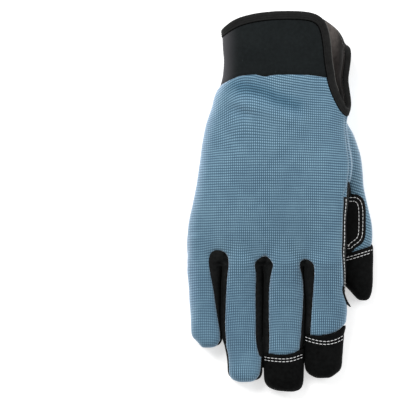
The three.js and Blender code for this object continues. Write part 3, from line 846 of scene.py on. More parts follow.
def panel_of(points):
    """The name of the panel that each point of the skin belongs to."""
    above = side_seam_field(points) > 0
    thumb = (thumb_field(points) < 0) & (points[:, 1] < THUMB_PARTS) & ~above
    gusset = (gusset_field(points) > 0) & ((gusset_end_field(points) > 0) | thumb) & ~above
    names = np.full(len(points), "palm_panel", dtype=object)
    names[above] = "back_panel"
    for i, field in enumerate(fourchette_fields):
        names[above & (field(points) > 0)] = f"fourchette_{i + 1}"
    index = (points[:, 0] > INDEX_FROM_X) & (points[:, 0] < INDEX_TO_X)
    middle = (points[:, 0] > MIDDLE_FROM_X) & (points[:, 0] < INDEX_FROM_X)
    names[above & index & (index_cap_field(points) < 0)] = "index_cap"
    names[above & middle & (middle_cap_field(points) < 0)] = "middle_cap"
    names[~above & index & ~thumb & (touch_tip_field(points) < 0)] = "touch_tip"
    names[thumb] = "thumb_palm"
    names[gusset] = "thumb_back"
    names[~above & (wedge_field(points) > 0) & (points[:, 2] > WEDGE_FROM_Z)] = "palm_panel"
    names[thumb & (thumb_cap_field(points) < 0)] = "thumb_cap"
    names[cuff_field(points) > 0] = "cuff"
    return names


def cut_skin():
    """The skin with its mouth open and every seam cut into it, and the panel of each face."""
    skin = joined_skin()
    widen_fingers(skin)
    dent(skin)
    made["skin_tree"] = BVHTree.FromBMesh(skin)
    cut(skin, mouth_field, lambda p: p[:, 1] > 50)
    centres = face_places(skin)
    drop_faces(skin, (mouth_field(centres) > 0) & (centres[:, 1] > 50))
    made["mouth_path"] = boundary_path(skin)
    cut(skin, cuff_field, lambda p: p[:, 1] > 60)
    cut(skin, side_seam_field, lambda p: cuff_field(p) < 1.5)
    cut(skin, gusset_field, lambda p: gusset_below(p) & (cuff_field(p) < 1.5))
    cut(skin, thumb_field, lambda p: gusset_below(p) & (p[:, 1] < THUMB_PARTS + 3))
    cut(skin, lambda p: p[:, 1] - THUMB_PARTS, lambda p: gusset_below(p) & (gusset_field(p) < 2))
    cut(skin, gusset_end_field, lambda p: gusset_below(p) & (gusset_field(p) > -2))
    cut(skin, thumb_cap_field, lambda p: (p[:, 0] > 25) & (thumb_field(p) < 1) & below_seam(p))
    for field in fourchette_fields:
        cut(skin, field, above_seam)
    cut(skin, index_cap_field, lambda p: above_seam(p) & (p[:, 0] > 15))
    cut(skin, middle_cap_field, lambda p: above_seam(p) & (np.abs(p[:, 0] - 2) < 16))
    cut(skin, touch_tip_field, lambda p: below_seam(p) & (p[:, 0] > 15) & (thumb_field(p) > 0))
    cut(skin, wedge_field, lambda p: below_seam(p) & (p[:, 2] > WEDGE_FROM_Z))
    made["panels"] = panel_of(face_places(skin))
    return skin


def boundary_path(skin):
    """The longest open edge of a skin as one chain of points, evened out and smoothed."""
    edges = dict.fromkeys(edge for edge in skin.edges if edge.is_boundary)
    loops = []
    while edges:
        edge, _ = edges.popitem()
        chain = list(edge.verts)
        while True:
            onward = [e for e in chain[-1].link_edges if e in edges]
            if not onward:
                break
            edges.pop(onward[0])
            chain.append(onward[0].other_vert(chain[-1]))
        loops.append(np.array([vert.co[:] for vert in chain]))
    return even_path(max(loops, key=len), MOUTH_SPACING, True, 4)


def even_path(path, spacing, closed, smoothing=0):
    """A chain of points at even spacing, smoothed a number of times."""
    if closed and np.linalg.norm(path[0] - path[-1]) > 1e-6:
        path = np.vstack([path, path[:1]])
    lengths = np.concatenate([[0], np.cumsum(np.linalg.norm(np.diff(path, axis=0), axis=1))])
    count = max(int(round(lengths[-1] / spacing)), 2)
    at = np.linspace(0, lengths[-1], count + 1)
    even = np.stack([np.interp(at, lengths, path[:, k]) for k in range(path.shape[1])], axis=1)
    if closed:
        even = even[:-1]
    for _ in range(smoothing):
        if closed:
            even = (np.roll(even, 1, axis=0) + 2 * even + np.roll(even, -1, axis=0)) / 4
        else:
            even[1:-1] = (even[:-2] + 2 * even[1:-1] + even[2:]) / 4
    return even


def seam_distances(bm, edges):
    """Gives each point of a skin its distance from the nearest of some edges."""
    samples = []
    for edge in edges:
        start, end = edge.verts
        samples += [start.co.lerp(end.co, k / 4) for k in range(4)]
    tree = KDTree(len(samples))
    for i, place in enumerate(samples):
        tree.insert(place, i)
    tree.balance()
    seam = bm.verts.layers.float["seam"]
    for vert in bm.verts:
        vert[seam] = tree.find(vert.co)[2]


def mark_seams(skin):
    """Gives each point of the skin its distance from the nearest seam, and the way outwards."""
    skin.verts.layers.float.new("seam")
    outward = skin.verts.layers.float_vector.new("outward")
    skin.faces.index_update()
    skin.normal_update()
    seams = []
    for edge in skin.edges:
        names = {made["panels"][face.index] for face in edge.link_faces}
        if len(names) == 2:
            seams.append(edge)
    seam_distances(skin, seams)
    for vert in skin.verts:
        vert[outward] = vert.normal


def base_skin():
    """The cut skin, made once and kept."""
    if "skin" not in made:
        skin = cut_skin()
        mark_seams(skin)
        mesh = bpy.data.meshes.new("cut_skin")
        skin.to_mesh(mesh)
        skin.free()
        made["skin"] = mesh
    return made["skin"]


def skin_copy():
    bm = bmesh.new()
    bm.from_mesh(base_skin())
    return bm


def panel_mesh(name):
    """A copy of the cut skin's faces that belong to one panel."""
    bm = skin_copy()
    drop_faces(bm, made["panels"] != name)
    return bm


def raise_skin(bm, rise):
    """Moves each point outwards by what a function of its distance from the seam says."""
    seam = bm.verts.layers.float["seam"]
    outward = bm.verts.layers.float_vector["outward"]
    share = apart(coordinates(bm))
    for vert, free in zip(bm.verts, share):
        vert.co += vert[outward] * rise(vert[seam]) * (0.1 + 0.9 * free)


def nearness(distance, width):
    """1 at a seam, and falling to 0 over about a width."""
    return math.exp(-((distance / width) ** 2))


def sewn_in(distance):
    """A panel's edge turns down into its seam and its middle is a little full."""
    return -SEAM_SUNK * nearness(distance, 1.0) + PANEL_FULL * (1 - nearness(distance, 4))


def laid_on(distance):
    """A cap lies on the panel beneath, with a rounded edge."""
    return CAP_EDGE_RISE + CAP_FULL * (1 - nearness(distance, 0.7))


def mesh_points(mesh):
    """The places of all points of a mesh as one array."""
    points = np.empty(len(mesh.vertices) * 3)
    mesh.vertices.foreach_get("co", points)
    return points.reshape(-1, 3)


def new_piece(name, bm, material, nodes=()):
    """A piece from a bmesh in millimetres, set in the model and over the nodes it stands for."""
    mesh = bpy.data.meshes.new(name)
    bm.to_mesh(mesh)
    bm.free()
    points = mesh_points(mesh)
    points[:, 2] = np.maximum(points[:, 2], LOWEST)
    points = (points + SHIFT) * MM
    mesh.vertices.foreach_set("co", points.ravel())
    mesh.shade_smooth()
    mesh.materials.append(material)
    piece = bpy.data.objects.new(name, mesh)
    bpy.context.scene.collection.objects.link(piece)
    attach(piece, "root")
    if nodes:
        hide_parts(*nodes)
    return piece


def thicken(piece, thickness):
    """Gives a skin its wall, on the inside."""
    wall = piece.modifiers.new("wall", "SOLIDIFY")
    wall.thickness = thickness * MM
    wall.offset = -1
    wall.use_even_offset = False
    wall.use_rim = True


def sewn_panel(panel, ending, look, rise=sewn_in, thicker=0, nodes=None):
    """One panel of the skin as a piece with its wall."""
    bm = panel_mesh(panel)
    raise_skin(bm, rise)
    piece = new_piece(panel + ending, bm, look, nodes or (panel,))
    thicken(piece, settings()[0].wall + thicker)
    return piece


def hand_edge(name, y):
    """One edge of the hand at places along Y."""
    hand = rows(HAND_COLUMNS, HAND)
    return np.interp(y, hand["y"][::-1], hand[name][::-1])


def weave_places(points, thumb):
    """Where each point lies across and along the ribs of the knit, and how far it is turned up."""
    x, y, _ = points.T
    if thumb:
        slope = 0.08 + 0.34 * smoothstep(-y, -70, 35)
        along = y + (x - 42) * slope
        across = x - y * slope
        return np.stack([across, along, np.full(len(points), THUMB_COLUMN_DEPTH)], axis=1)
    left = hand_edge("left", y)
    t = np.abs(2 * (x - left) / (hand_edge("right", y) - left) - 1)
    arch = (1.2 + 1.5 * smoothstep(y, 5, 72)) * t**3
    arch *= smoothstep(y, -48, -30)
    sweep = spline(WRIST_SWEEP, 6)
    arch += np.interp(x, sweep[:, 0], sweep[:, 1]) * smoothstep(y, 24, 80)
    for top_x, top_y in STRIP_TOPS:
        reach = ((x - top_x) / STRIP_TOP_REACH) ** 2 + ((y - top_y) / STRIP_TOP_REACH) ** 2
        arch -= STRIP_TOP_BOW * np.exp(-reach)
    for row in FINGER_ROWS:
        middle = (row["root_left"] + row["root_right"]) / 2
        half = (row["root_right"] - row["root_left"]) / 2
        own = (np.abs(x - middle) < half + 1) * smoothstep(-y, 40, 54)
        arch += own * 1.6 * np.abs((x - middle) / half) ** 2.5
    clear = (0.3 + 0.7 * smoothstep(x, -52, -20)) * (1 - 0.6 * smoothstep(x, 12, 38))
    clear *= 1 - 0.4 * smoothstep(y, 58, 76)
    clear += (np.where(x < -39, 0.45, 1) - clear) * smoothstep(-y, 25, 45)
    return np.stack([x, y + arch, clear], axis=1)


def store(piece, name, values):
    """Stores a number or a vector for each point of a piece, where its material reads them."""
    kind, field = ("FLOAT_VECTOR", "vector") if values.ndim == 2 else ("FLOAT", "value")
    attribute = piece.data.attributes.new(name, kind, "POINT")
    attribute.data.foreach_set(field, values.ravel())


def turned_up(piece):
    """How far the surface of a piece is turned up at each point: 1 is straight up."""
    return np.array([vert.normal.z for vert in piece.data.vertices])


def add_weave(piece, thumb=False):
    """Stores what the knit's material reads: its places, the depth of its ribs and its tint of painted
    light and shade.
    """
    places = mesh_points(piece.data) / MM - SHIFT
    weave = weave_places(places, thumb)
    weave[:, 2] *= smoothstep(np.abs(turned_up(piece)), 0.35, 0.8)
    depth = np.interp(places[:, 1], RIB_DEPTH[0], RIB_DEPTH[1])
    depth *= 0.82 + 0.18 * smoothstep(places[:, 0], -52, -25)
    if thumb:
        depth = np.full(len(depth), THUMB_RIB_DEPTH)
    store(piece, "weave", weave)
    store(piece, "rib_depth", depth)
    store(piece, "tint", knit_painted_light(places, thumb))


def knit_painted_light(places, thumb):
    """By how much painted light and shade make the knit's red, green and blue lighter or darker at each
    point.
    """
    tint = np.ones((len(places), 3))
    if thumb:
        return tint
    x, y, _ = places.T
    # Painted shade on the wrist's folds, moved up onto the slope that faces away from the light
    slope = places - (0, WRIST_SLOPE, 0)
    painted_shade = np.clip(valleys(slope, DENTS[:WRIST_DENTS]) / WRIST_DENT_DEPTH, 0, 1)
    tint -= painted_shade[:, None] * WRIST_SHADE
    # Painted light along the left edge of the hand and the pinky, where light falls on its side
    lit = (1 - smoothstep(x - hand_edge("left", y), 0.5, 7.5)) * smoothstep(y, -95, -70)
    tint += lit[:, None] * EDGE_LIGHT
    # Painted light and shade: lighter towards the wrist and on the index finger, darker on the pinky
    # side towards the fingers; the fingers are also a little bluer
    fingers = smoothstep(-y, 30, 50)
    light = 1 + 0.07 * smoothstep(y, -10, 25) - 0.05 * smoothstep(-y, -5, 20) * smoothstep(-x, 25, 40)
    light += 0.06 * fingers * smoothstep(x, 14, 18)
    tint *= light[:, None]
    return tint * (1 + fingers[:, None] * (0, 0.02, 0.04))


def add_painted_shade(piece):
    """Stores how far each point is turned away from above, which the leather's look paints as shade."""
    store(piece, "painted_shade", 1 - smoothstep(turned_up(piece), 0.1, 0.85))


def patch_mesh(field, rise, keep):
    """A padded patch: a copy of the skin inside an outline, raised with a rounded edge."""
    bm = skin_copy()
    points = face_places(bm)
    wanted = keep(points, made["panels"])
    value = np.full(len(points), -9.0)
    value[wanted] = field(points[wanted])
    drop_faces(bm, value < -4)
    cut(bm, field)
    drop_faces(bm, field(face_places(bm)) < 0)
    outward = bm.verts.layers.float_vector["outward"]
    for vert in bm.verts:
        if vert[outward].length > 0:
            vert[outward] = vert[outward] / vert[outward].length
    seam_distances(bm, [edge for edge in bm.edges if edge.is_boundary])
    raise_skin(bm, rise)
    return bm


saddle_top_field = outline_field(SADDLE_TOP)
saddle_under_field = outline_field(SADDLE_UNDER)


def palm_faces(points, panels):
    return (panels == "palm_panel") & (points[:, 0] < 14)


def saddle_faces(points, panels):
    above = (panels == "thumb_back") & (points[:, 2] > SADDLE_LEVEL - 1)
    root = (panels == "palm_panel") & (points[:, 0] > 19) & (points[:, 2] < SADDLE_LEVEL + 0.5)
    return above | root | (panels == "thumb_palm")


def palm_patch(outline):
    """How far inside an outline a point of the palm lies, no higher than the patches reach."""
    field = outline_field(outline)
    return lambda points: np.minimum(field(points), PALM_PATCH_HIGHEST - points[:, 2])


def saddle(points):
    heights = points[:, 2]
    top = np.minimum(saddle_top_field(points), np.minimum(heights, SADDLE_HIGHEST) - SADDLE_LEVEL)
    top = np.minimum(top, SADDLE_HIGHEST - heights)
    under = np.minimum(saddle_under_field(points), SADDLE_LEVEL + 0.5 - points[:, 2])
    return np.maximum(top, under)


def on_skin(place):
    """The nearest point of the whole skin to a place, and the way outwards there."""
    found, normal, _, _ = made["skin_tree"].find_nearest(Vector(place))
    return np.array(found[:]), np.array(normal[:])


def first_met(start, way):
    """Where a ray meets the skin, and the way outwards there."""
    return made["skin_tree"].ray_cast(Vector(start), Vector(way))[:2]


def ways_along(path, closed):
    """The way along a path at each of its points."""
    longer = np.pad(path, ((1, 1), (0, 0)), mode="wrap" if closed else "edge")
    ways = longer[2:] - longer[:-2]
    return ways / np.maximum(np.linalg.norm(ways, axis=1), 1e-9)[:, None]


def mouth_frames():
    """The path round the mouth and the slit, and at each of its points the way into the cloth."""
    base_skin()
    path = made["mouth_path"]
    normals = np.array([on_skin(place)[1] for place in path])
    for _ in range(3):
        normals = (np.roll(normals, 1, axis=0) + normals + np.roll(normals, -1, axis=0)) / 3
    inward = np.cross(normals, ways_along(path, True))
    inward /= np.linalg.norm(inward, axis=1)[:, None]
    if np.mean(mouth_field(path + inward * 3)) > 0:
        inward = -inward
    return path, inward


def lining_edge_mesh():
    """The thin edge of the lining that peeps out from under the tape at the slit."""
    path, inward = mouth_frames()
    x, y, z = path.T
    near = (x > LIP_FROM_X) & (z > LIP_FROM_Z) & (y > LIP_ENDS[0]) & (y < LIP_ENDS[1])
    first = int(np.argmin(near))
    chosen = np.nonzero(np.roll(near, -first))[0] + first
    angles = np.arange(8) * 2 * np.pi / 8
    rings = []
    for i in chosen % len(path):
        foot, normal = on_skin(path[i])
        middle = foot - normal * LIP_DEPTH - inward[i] * LIP_OUT
        ends = np.cos(angles)[:, None] * inward[i] + np.sin(angles)[:, None] * normal
        rings.append(middle + LIP_RADIUS * ends)
    return tube(rings)


def binding_mesh():
    """The tape: a doubled band swept round the edge of the mouth and the slit."""
    path, inward = mouth_frames()
    profile = tape_profile()
    rings = []
    for place, way in zip(path, inward):
        points = []
        for across, height in profile:
            foot, normal = on_skin(place + way * max(round(across, 2), 0))
            points.append(foot + normal * height + way * min(across, 0))
        rings.append(np.array(points))
    rings.append(rings[0])
    return tube(rings)


def tape_profile():
    """The section of the tape: how far in from the edge, and how high above the skin."""
    width = BINDING_WIDTH
    inner = BINDING_INNER_WIDTH
    top = BINDING_RISE
    bottom = -WALL - BINDING_RISE
    middle = (top + bottom) / 2
    half = (top - bottom) / 2
    points = [(width - across, top + height) for across, height in TAPE_TOP]
    points += [(width, top - 0.5), (width - 0.1, middle + 0.4), (inner + 0.1, middle)]
    points += [(inner, bottom + 0.4)]
    points += [(inner * share, bottom + 0.1) for share in (0.9, 0.6, 0.3)]
    for k in range(8, -1, -1):
        angle = math.pi / 2 + math.pi * k / 8
        points.append((half * 0.7 * math.cos(angle), middle + half * math.sin(angle)))
    return points


def lining_mesh():
    """The lining: the skin round the wrist, drawn in by the wall."""
    bm = skin_copy()
    points = face_places(bm)
    drop_faces(bm, (points[:, 1] <= LINING_END) | (mouth_field(points) >= -0.6))
    outward = bm.verts.layers.float_vector["outward"]
    for vert in bm.verts:
        length = max(vert[outward].length, 1e-6)
        x, y, _ = vert.co
        softness = 0.35 * math.sin(x * 0.33 + math.sin(y * 0.12) * 1.4)
        vert.co -= vert[outward] / length * (WALL + LINING_GAP + softness)
    points = coordinates(bm)
    x, y, z = points.T
    rolled = smoothstep(x, 26, 33) * smoothstep(-x, -45.8, -43.8) * smoothstep(-z, -20, -16)
    rolled *= smoothstep(mouth_field(points), -6, -0.8) * smoothstep(y, 101, 105)
    for vert, share in zip(bm.verts, rolled):
        vert.co += Vector(LINING_ROLL) * share
    return bm


class Wire:
    """A socket of a material that values and other sockets are worked out with."""

    def __init__(self, cloth, socket):
        self.cloth = cloth
        self.socket = socket

    def maths(self, operation, other=None, swapped=False):
        values = [self] if other is None else [self, other]
        if swapped:
            values.reverse()
        return self.cloth.node("ShaderNodeMath", {"operation": operation}, dict(enumerate(values)))

    def __add__(self, other):
        return self.maths("ADD", other)

    __radd__ = __add__

    def __mul__(self, other):
        return self.maths("MULTIPLY", other)

    __rmul__ = __mul__

    def __sub__(self, other):
        return self.maths("SUBTRACT", other)

    def __rsub__(self, other):
        return self.maths("SUBTRACT", other, swapped=True)

    def __pow__(self, other):
        return self.maths("POWER", other)

    def cosine(self):
        return self.maths("COSINE")

    def clamped(self):
        return self.maths("MAXIMUM", 0).maths("MINIMUM", 1)

    def waves(self, pitch):
        """Waves from 0 to 1 along a length, with so many millimetres from crest to crest."""
        return (self * (2 * math.pi / (pitch * MM))).cosine() * 0.5 + 0.5

    def axes(self):
        """The three parts of a vector."""
        parts = self.cloth.node("ShaderNodeSeparateXYZ", None, {"Vector": self}).socket.node
        return [Wire(self.cloth, output) for output in parts.outputs]

    def spread(self, low, high):
        """0 at low, 1 at high and smooth between."""
        settings = {"interpolation_type": "SMOOTHSTEP"}
        sockets = {"Value": self, "From Min": low, "From Max": high}
        return self.cloth.node("ShaderNodeMapRange", settings, sockets, "Result")


class Cloth:
    """A material and the nodes that make its look."""

    def __init__(self, name):
        self.material = bpy.data.materials.new(name)
        self.material.use_nodes = True
        self.tree = self.material.node_tree
        self.tree.nodes.clear()

    def node(self, kind, settings=None, sockets=None, output=0):
        """Any node, by its type, its settings and the values or wires of its sockets."""
        node = self.tree.nodes.new(kind)
        for name, value in (settings or {}).items():
            setattr(node, name, value)
        for name, value in (sockets or {}).items():
            self.join(value, node.inputs[name])
        return Wire(self, node.outputs[output])

    def join(self, value, socket):
        if isinstance(value, Wire):
            self.tree.links.new(value.socket, socket)
        else:
            socket.default_value = value

    def place(self):
        return self.node("ShaderNodeTexCoord", output="Object")

    def attribute(self, name, output="Vector"):
        """What the piece stores for each of its points under a name."""
        return self.node("ShaderNodeAttribute", {"attribute_name": name}, output=output)

    def facing(self):
        """0 where the surface faces the viewer, and 1 where it is seen edge on."""
        return self.node("ShaderNodeLayerWeight", None, {"Blend": 0.5}, "Facing")

    def noise(self, scale, detail=2.0, roughness=0.5, vector=None):
        """Noise whose grains are about 1/scale metres wide."""
        sockets = {"Vector": vector or self.place(), "Scale": scale}
        sockets.update({"Detail": detail, "Roughness": roughness})
        return self.node("ShaderNodeTexNoise", None, sockets, "Fac")

    def stretched(self, x, y, z):
        """The place on the piece, stretched along the axes."""
        return self.node("ShaderNodeMapping", None, {"Vector": self.place(), "Scale": (x, y, z)})

    def mix(self, factor, one, other, blend="MIX"):
        """A colour between two colours, or where blend says so their product."""
        node = self.tree.nodes.new("ShaderNodeMix")
        node.data_type = "RGBA"
        node.blend_type = blend
        sockets = {socket.identifier: socket for socket in node.inputs}
        self.join(factor, sockets["Factor_Float"])
        self.join(one, sockets["A_Color"])
        self.join(other, sockets["B_Color"])
        return Wire(self, next(s for s in node.outputs if s.identifier == "Result_Color"))

    def finish(self, colour, roughness, height=None, depth=0.1, strength=1.0, **fixed):
        """Joins a colour, a roughness and a height in millimetres to the surface."""
        sockets = {"Base Color": colour, "Roughness": roughness}
        sockets.update({name.replace("_", " "): value for name, value in fixed.items()})
        if height is not None:
            bump = {"Height": height, "Distance": depth * MM, "Strength": strength}
            sockets["Normal"] = self.node("ShaderNodeBump", None, bump, "Normal")
        surface = self.node("ShaderNodeBsdfPrincipled", None, sockets)
        self.node_output(surface)
        return self.material

    def node_output(self, surface):
        output = self.tree.nodes.new("ShaderNodeOutputMaterial")
        self.tree.links.new(surface.socket, output.inputs["Surface"])


def shade(colour, factor):
    """A colour made lighter or darker, with its alpha."""
    return tuple(min(max(c * factor, 0), 1) for c in colour[:3]) + (1.0,)


def knit_look(colours):
    """Ribbed stretch knit: ribs across the hand, fine columns over them and single yarns."""
    cloth = Cloth("ribbed_knit")
    across, along, clear = cloth.attribute("weave").axes()
    drift = cloth.noise(90, 2) - 0.5
    wander = cloth.noise(45, 2) - 0.5
    along = (along + drift * 0.8) * (2 * math.pi / RIB_PITCH)
    across = (across + wander * 1.8) * (2 * math.pi / COLUMN_PITCH)
    rib = along.cosine() * 0.5 * cloth.attribute("rib_depth", "Fac") + 0.5
    column = across.cosine() * 0.68 * clear + 0.5
    knot = rib * column
    yarn = cloth.noise(2600, 2)
    wear = cloth.noise(38, 3)
    soft = cloth.noise(160, 2)
    light = rib * 0.1 + knot * 1.1 + 0.14 + (yarn - 0.5) * 0.3
    tone = cloth.mix(light.clamped(), shade(colours.knit_dark, 1), shade(colours.knit_light, 1))
    patchy = (wear * 0.6 + soft * 0.4).spread(0.3, 0.72)
    tint = cloth.mix(patchy, (0.86, 0.88, 0.9, 1), (1.1, 1.09, 1.07, 1))
    colour = cloth.mix(1.0, tone, tint, "MULTIPLY")
    # Painted sheen: a pale grey-blue where the knit is seen edge on
    colour = cloth.mix(cloth.facing() ** 1.8 * 0.9, colour, (0.36, 0.48, 0.6, 1))
    # The stored tint: painted light and shade
    sockets = {0: colour, 1: cloth.attribute("tint")}
    colour = cloth.node("ShaderNodeVectorMath", {"operation": "MULTIPLY"}, sockets)
    height = rib * 0.45 + knot * 0.5 + yarn * 0.25
    roughness = 0.95 - light * 0.18
    return cloth.finish(
        colour, roughness, height, 0.28, 0.85,
        Sheen_Weight=0.7, Sheen_Roughness=0.3, Sheen_Tint=(0.8, 0.9, 1, 1),
        Specular_IOR_Level=0.1,
    )


def leather_look(name, colour, nap, gloss, grain=900, shine=0.1, painted_light_and_shade=False):
    """Synthetic leather: a fine nap that lies this way and that, with a soft grain beneath."""
    cloth = Cloth(name)
    fine = cloth.noise(grain * 3.2, 3)
    pebble = cloth.node(
        "ShaderNodeTexVoronoi", {"feature": "SMOOTH_F1"},
        {"Vector": cloth.place(), "Scale": grain, "Smoothness": 0.6}, "Distance",
    )
    brushed = cloth.noise(70, 4, 0.6)
    worn = cloth.noise(24, 3)
    mottle = cloth.noise(430, 2)
    tone = (brushed * 0.35 + worn * 0.2 + mottle * 0.45 + fine * 0.15).spread(0.38, 0.8)
    paint = cloth.mix(tone, shade(colour, 0.5), shade(colour, 1.65))
    # Painted shade: darker where the surface turns away from above
    if painted_light_and_shade:
        paint = cloth.mix(cloth.attribute("painted_shade", "Fac"), paint, shade(colour, 0.15))
    roughness = gloss + (brushed - 0.5) * 0.22 + (fine - 0.5) * 0.12
    height = pebble * 0.5 + fine * 0.5 + mottle * 1.6 + brushed * 1.2
    return cloth.finish(
        paint, roughness, height, 0.09, 0.8,
        Sheen_Weight=nap, Sheen_Roughness=0.45, Specular_IOR_Level=shine,
    )


def neoprene_look(colours):
    """Fine jersey over foam: tiny slanting stitches in columns."""
    cloth = Cloth("cuff_jersey")
    x, y, z = cloth.place().axes()
    column = (x + z * 0.6).waves(0.55)
    course = y.waves(0.42)
    fuzz = cloth.noise(1800, 3)
    cloudy = cloth.noise(45, 3)
    lint = cloth.noise(420, 1).spread(0.77, 0.86)
    mottle = cloth.noise(480, 2)
    tone = (column * course * 0.3 + fuzz * 0.25 + mottle * 0.45 + cloudy * 0.3).spread(0.3, 0.95)
    paint = cloth.mix(tone, shade(colours.cuff, 0.62), shade(colours.cuff, 1.45))
    paint = cloth.mix(lint * 0.4, paint, shade(colours.cuff, 5))
    # Painted light: the cuff's left side is lighter, fading out along X
    left = 1 - x.spread(CUFF_PAINTED_LIGHT_SPAN[0] * MM, CUFF_PAINTED_LIGHT_SPAN[1] * MM)
    paint = cloth.mix(left ** 1.6, paint, CUFF_LIT)
    # Painted sheen: lighter where the cuff is seen edge on
    paint = cloth.mix(cloth.facing() ** 2.2 * 0.8, paint, shade(CUFF_LIT, 1.6))
    height = column * course * 0.6 + fuzz * 0.5
    return cloth.finish(
        paint, 0.86 - cloudy * 0.14, height, 0.06, 0.7,
        Sheen_Weight=0.16, Sheen_Roughness=0.3, Specular_IOR_Level=0.08,
    )


def tape_look(colours):
    """Woven tape: fine slanting twill with a little wear."""
    cloth = Cloth("woven_tape")
    x, y, z = cloth.place().axes()
    slant = (x + y + z).waves(0.6)
    other = (x - y).waves(0.9)
    fuzz = cloth.noise(1500, 3)
    cloudy = cloth.noise(80, 3)
    mottle = cloth.noise(430, 2)
    tone = (slant * 0.2 + other * 0.1 + fuzz * 0.2 + mottle * 0.4 + cloudy * 0.3).spread(0.3, 0.9)
    paint = cloth.mix(tone, shade(colours.tape, 0.45), shade(colours.tape, 1.6))
    height = slant * 0.4 + other * 0.3 + fuzz * 0.4
    return cloth.finish(
        paint, 0.9 - fuzz * 0.15, height, 0.07, 0.7,
        Sheen_Weight=0.05, Sheen_Roughness=0.5, Specular_IOR_Level=0.1,
    )


def lining_look(colours):
    """Brushed pile: short soft hair, lying flat in streaks along the cuff, with painted shade by the
    slit.
    """
    cloth = Cloth("brushed_pile")
    streak = cloth.noise(60, 4, 0.6, cloth.stretched(2.2, 0.45, 2.2))
    hair = cloth.noise(900, 3, 0.6, cloth.stretched(1, 0.5, 1))
    tuft = cloth.noise(330, 3)
    tone = (streak * 0.6 + tuft * 0.25 + hair * 0.25).spread(0.36, 0.74)
    paint = cloth.mix(tone, shade(colours.lining, 0.45), shade(colours.lining, 1.5))
    side, _, _ = cloth.place().axes()
    # Painted shade: the lining turns near-black next to the tape on the far side of the slit
    slit_shade = side.spread(LINING_SLIT_SHADE[0] * MM, LINING_SLIT_SHADE[1] * MM)
    paint = cloth.mix(slit_shade * 0.92, paint, shade(colours.lining, 0.16))
    height = hair * 0.6 + tuft + streak
    return cloth.finish(
        paint, 0.95, height, 0.35, 0.8,
        Sheen_Weight=0.2, Sheen_Roughness=0.6, Specular_IOR_Level=0.05,
    )


def thread_look(name, colour, shine=0.4):
    """Twisted sewing thread."""
    cloth = Cloth(name)
    twist = cloth.noise(2400, 1, 0.5, cloth.stretched(1, 1.6, 1))
    soil = cloth.noise(140, 2)
    tone = (twist * 0.6 + soil * 0.4).spread(0.3, 0.7)
    paint = cloth.mix(tone, shade(colour, 0.72), shade(colour, 1.0))
    return cloth.finish(paint, 0.62, twist, 0.05, 0.6, Specular_IOR_Level=shine)


def dropped_runs(path, side, wanted, least=LEAST_TURNED_UP):
    """The stretches of a path, seen from above (side 1) or below (side -1), on wanted skin."""
    runs = [[]]
    for x, y in path:
        place, normal = first_met((x, y, FAR_ABOVE * side), (0, 0, -side))
        if place is not None and normal.z * side > least and wanted(place):
            runs[-1].append(place[:] + normal[:])
        elif runs[-1]:
            runs.append([])
    return [np.array(run) for run in runs if len(run) >= SHORTEST_ROW]


def moved_in(outline, distance, closed):
    """A smooth path at a distance inside a closed outline, or below an edge."""
    chain = spline(outline, 8, closed)
    ways = ways_along(chain, closed)
    turn = -1
    if closed:
        onward = np.roll(chain, -1, axis=0)
        area = (chain[:, 0] * onward[:, 1] - onward[:, 0] * chain[:, 1]).sum()
        turn = 1 if area > 0 else -1
    return chain + turn * distance * np.stack([-ways[:, 1], ways[:, 0]], axis=1)


def add_stitches(bm, path, lift, sizes, wide=1.0, long=1.0):
    """A row of stitches along a path of places and outward ways on the skin."""
    if len(path) < 3:
        return
    path = even_path(path, ROW_SPACING, False, 2)
    places = path[:, :3]
    lengths = np.concatenate([[0], np.cumsum(np.linalg.norm(np.diff(places, axis=0), axis=1))])
    count = int(lengths[-1] / sizes.stitch_pitch)
    for k in range(count):
        ends = []
        for share in (0, sizes.stitch_length / sizes.stitch_pitch * long):
            at = (k + 0.1 + share) * sizes.stitch_pitch
            ends.append(np.array([np.interp(at, lengths, path[:, n]) for n in range(6)]))
        start, end = ends
        middle = Vector((start[:3] + end[:3]) / 2)
        way = Vector(end[:3] - start[:3])
        up = Vector(start[3:] + end[3:]).normalized()
        across = way.cross(up).normalized()
        up = across.cross(way).normalized()
        half = way.length / 2
        along = way.normalized()
        size = sizes.stitch_width / 2 * wide
        turned = Matrix((along * half, across, up)).transposed()
        shape = turned @ Matrix.Diagonal((1, size, size * 0.8))
        spot = middle + up * lift
        bmesh.ops.create_uvsphere(
            bm, u_segments=6, v_segments=6, radius=1,
            matrix=Matrix.Translation(spot) @ shape.to_4x4() @ Matrix.Rotation(math.pi / 2, 4, "Y"),
        )


def strip_path(drop, from_y, to_y):
    """A path down the index side, a little below the side seam."""
    found = []
    for y in np.arange(from_y, to_y, -1.5):
        level = side_seam_level(42, y) - drop
        place, normal = first_met((FAR_ASIDE, y, level), (-1, 0, 0))
        if place is not None and place.x > 30:
            found.append(place[:] + normal[:])
    return np.array(found)


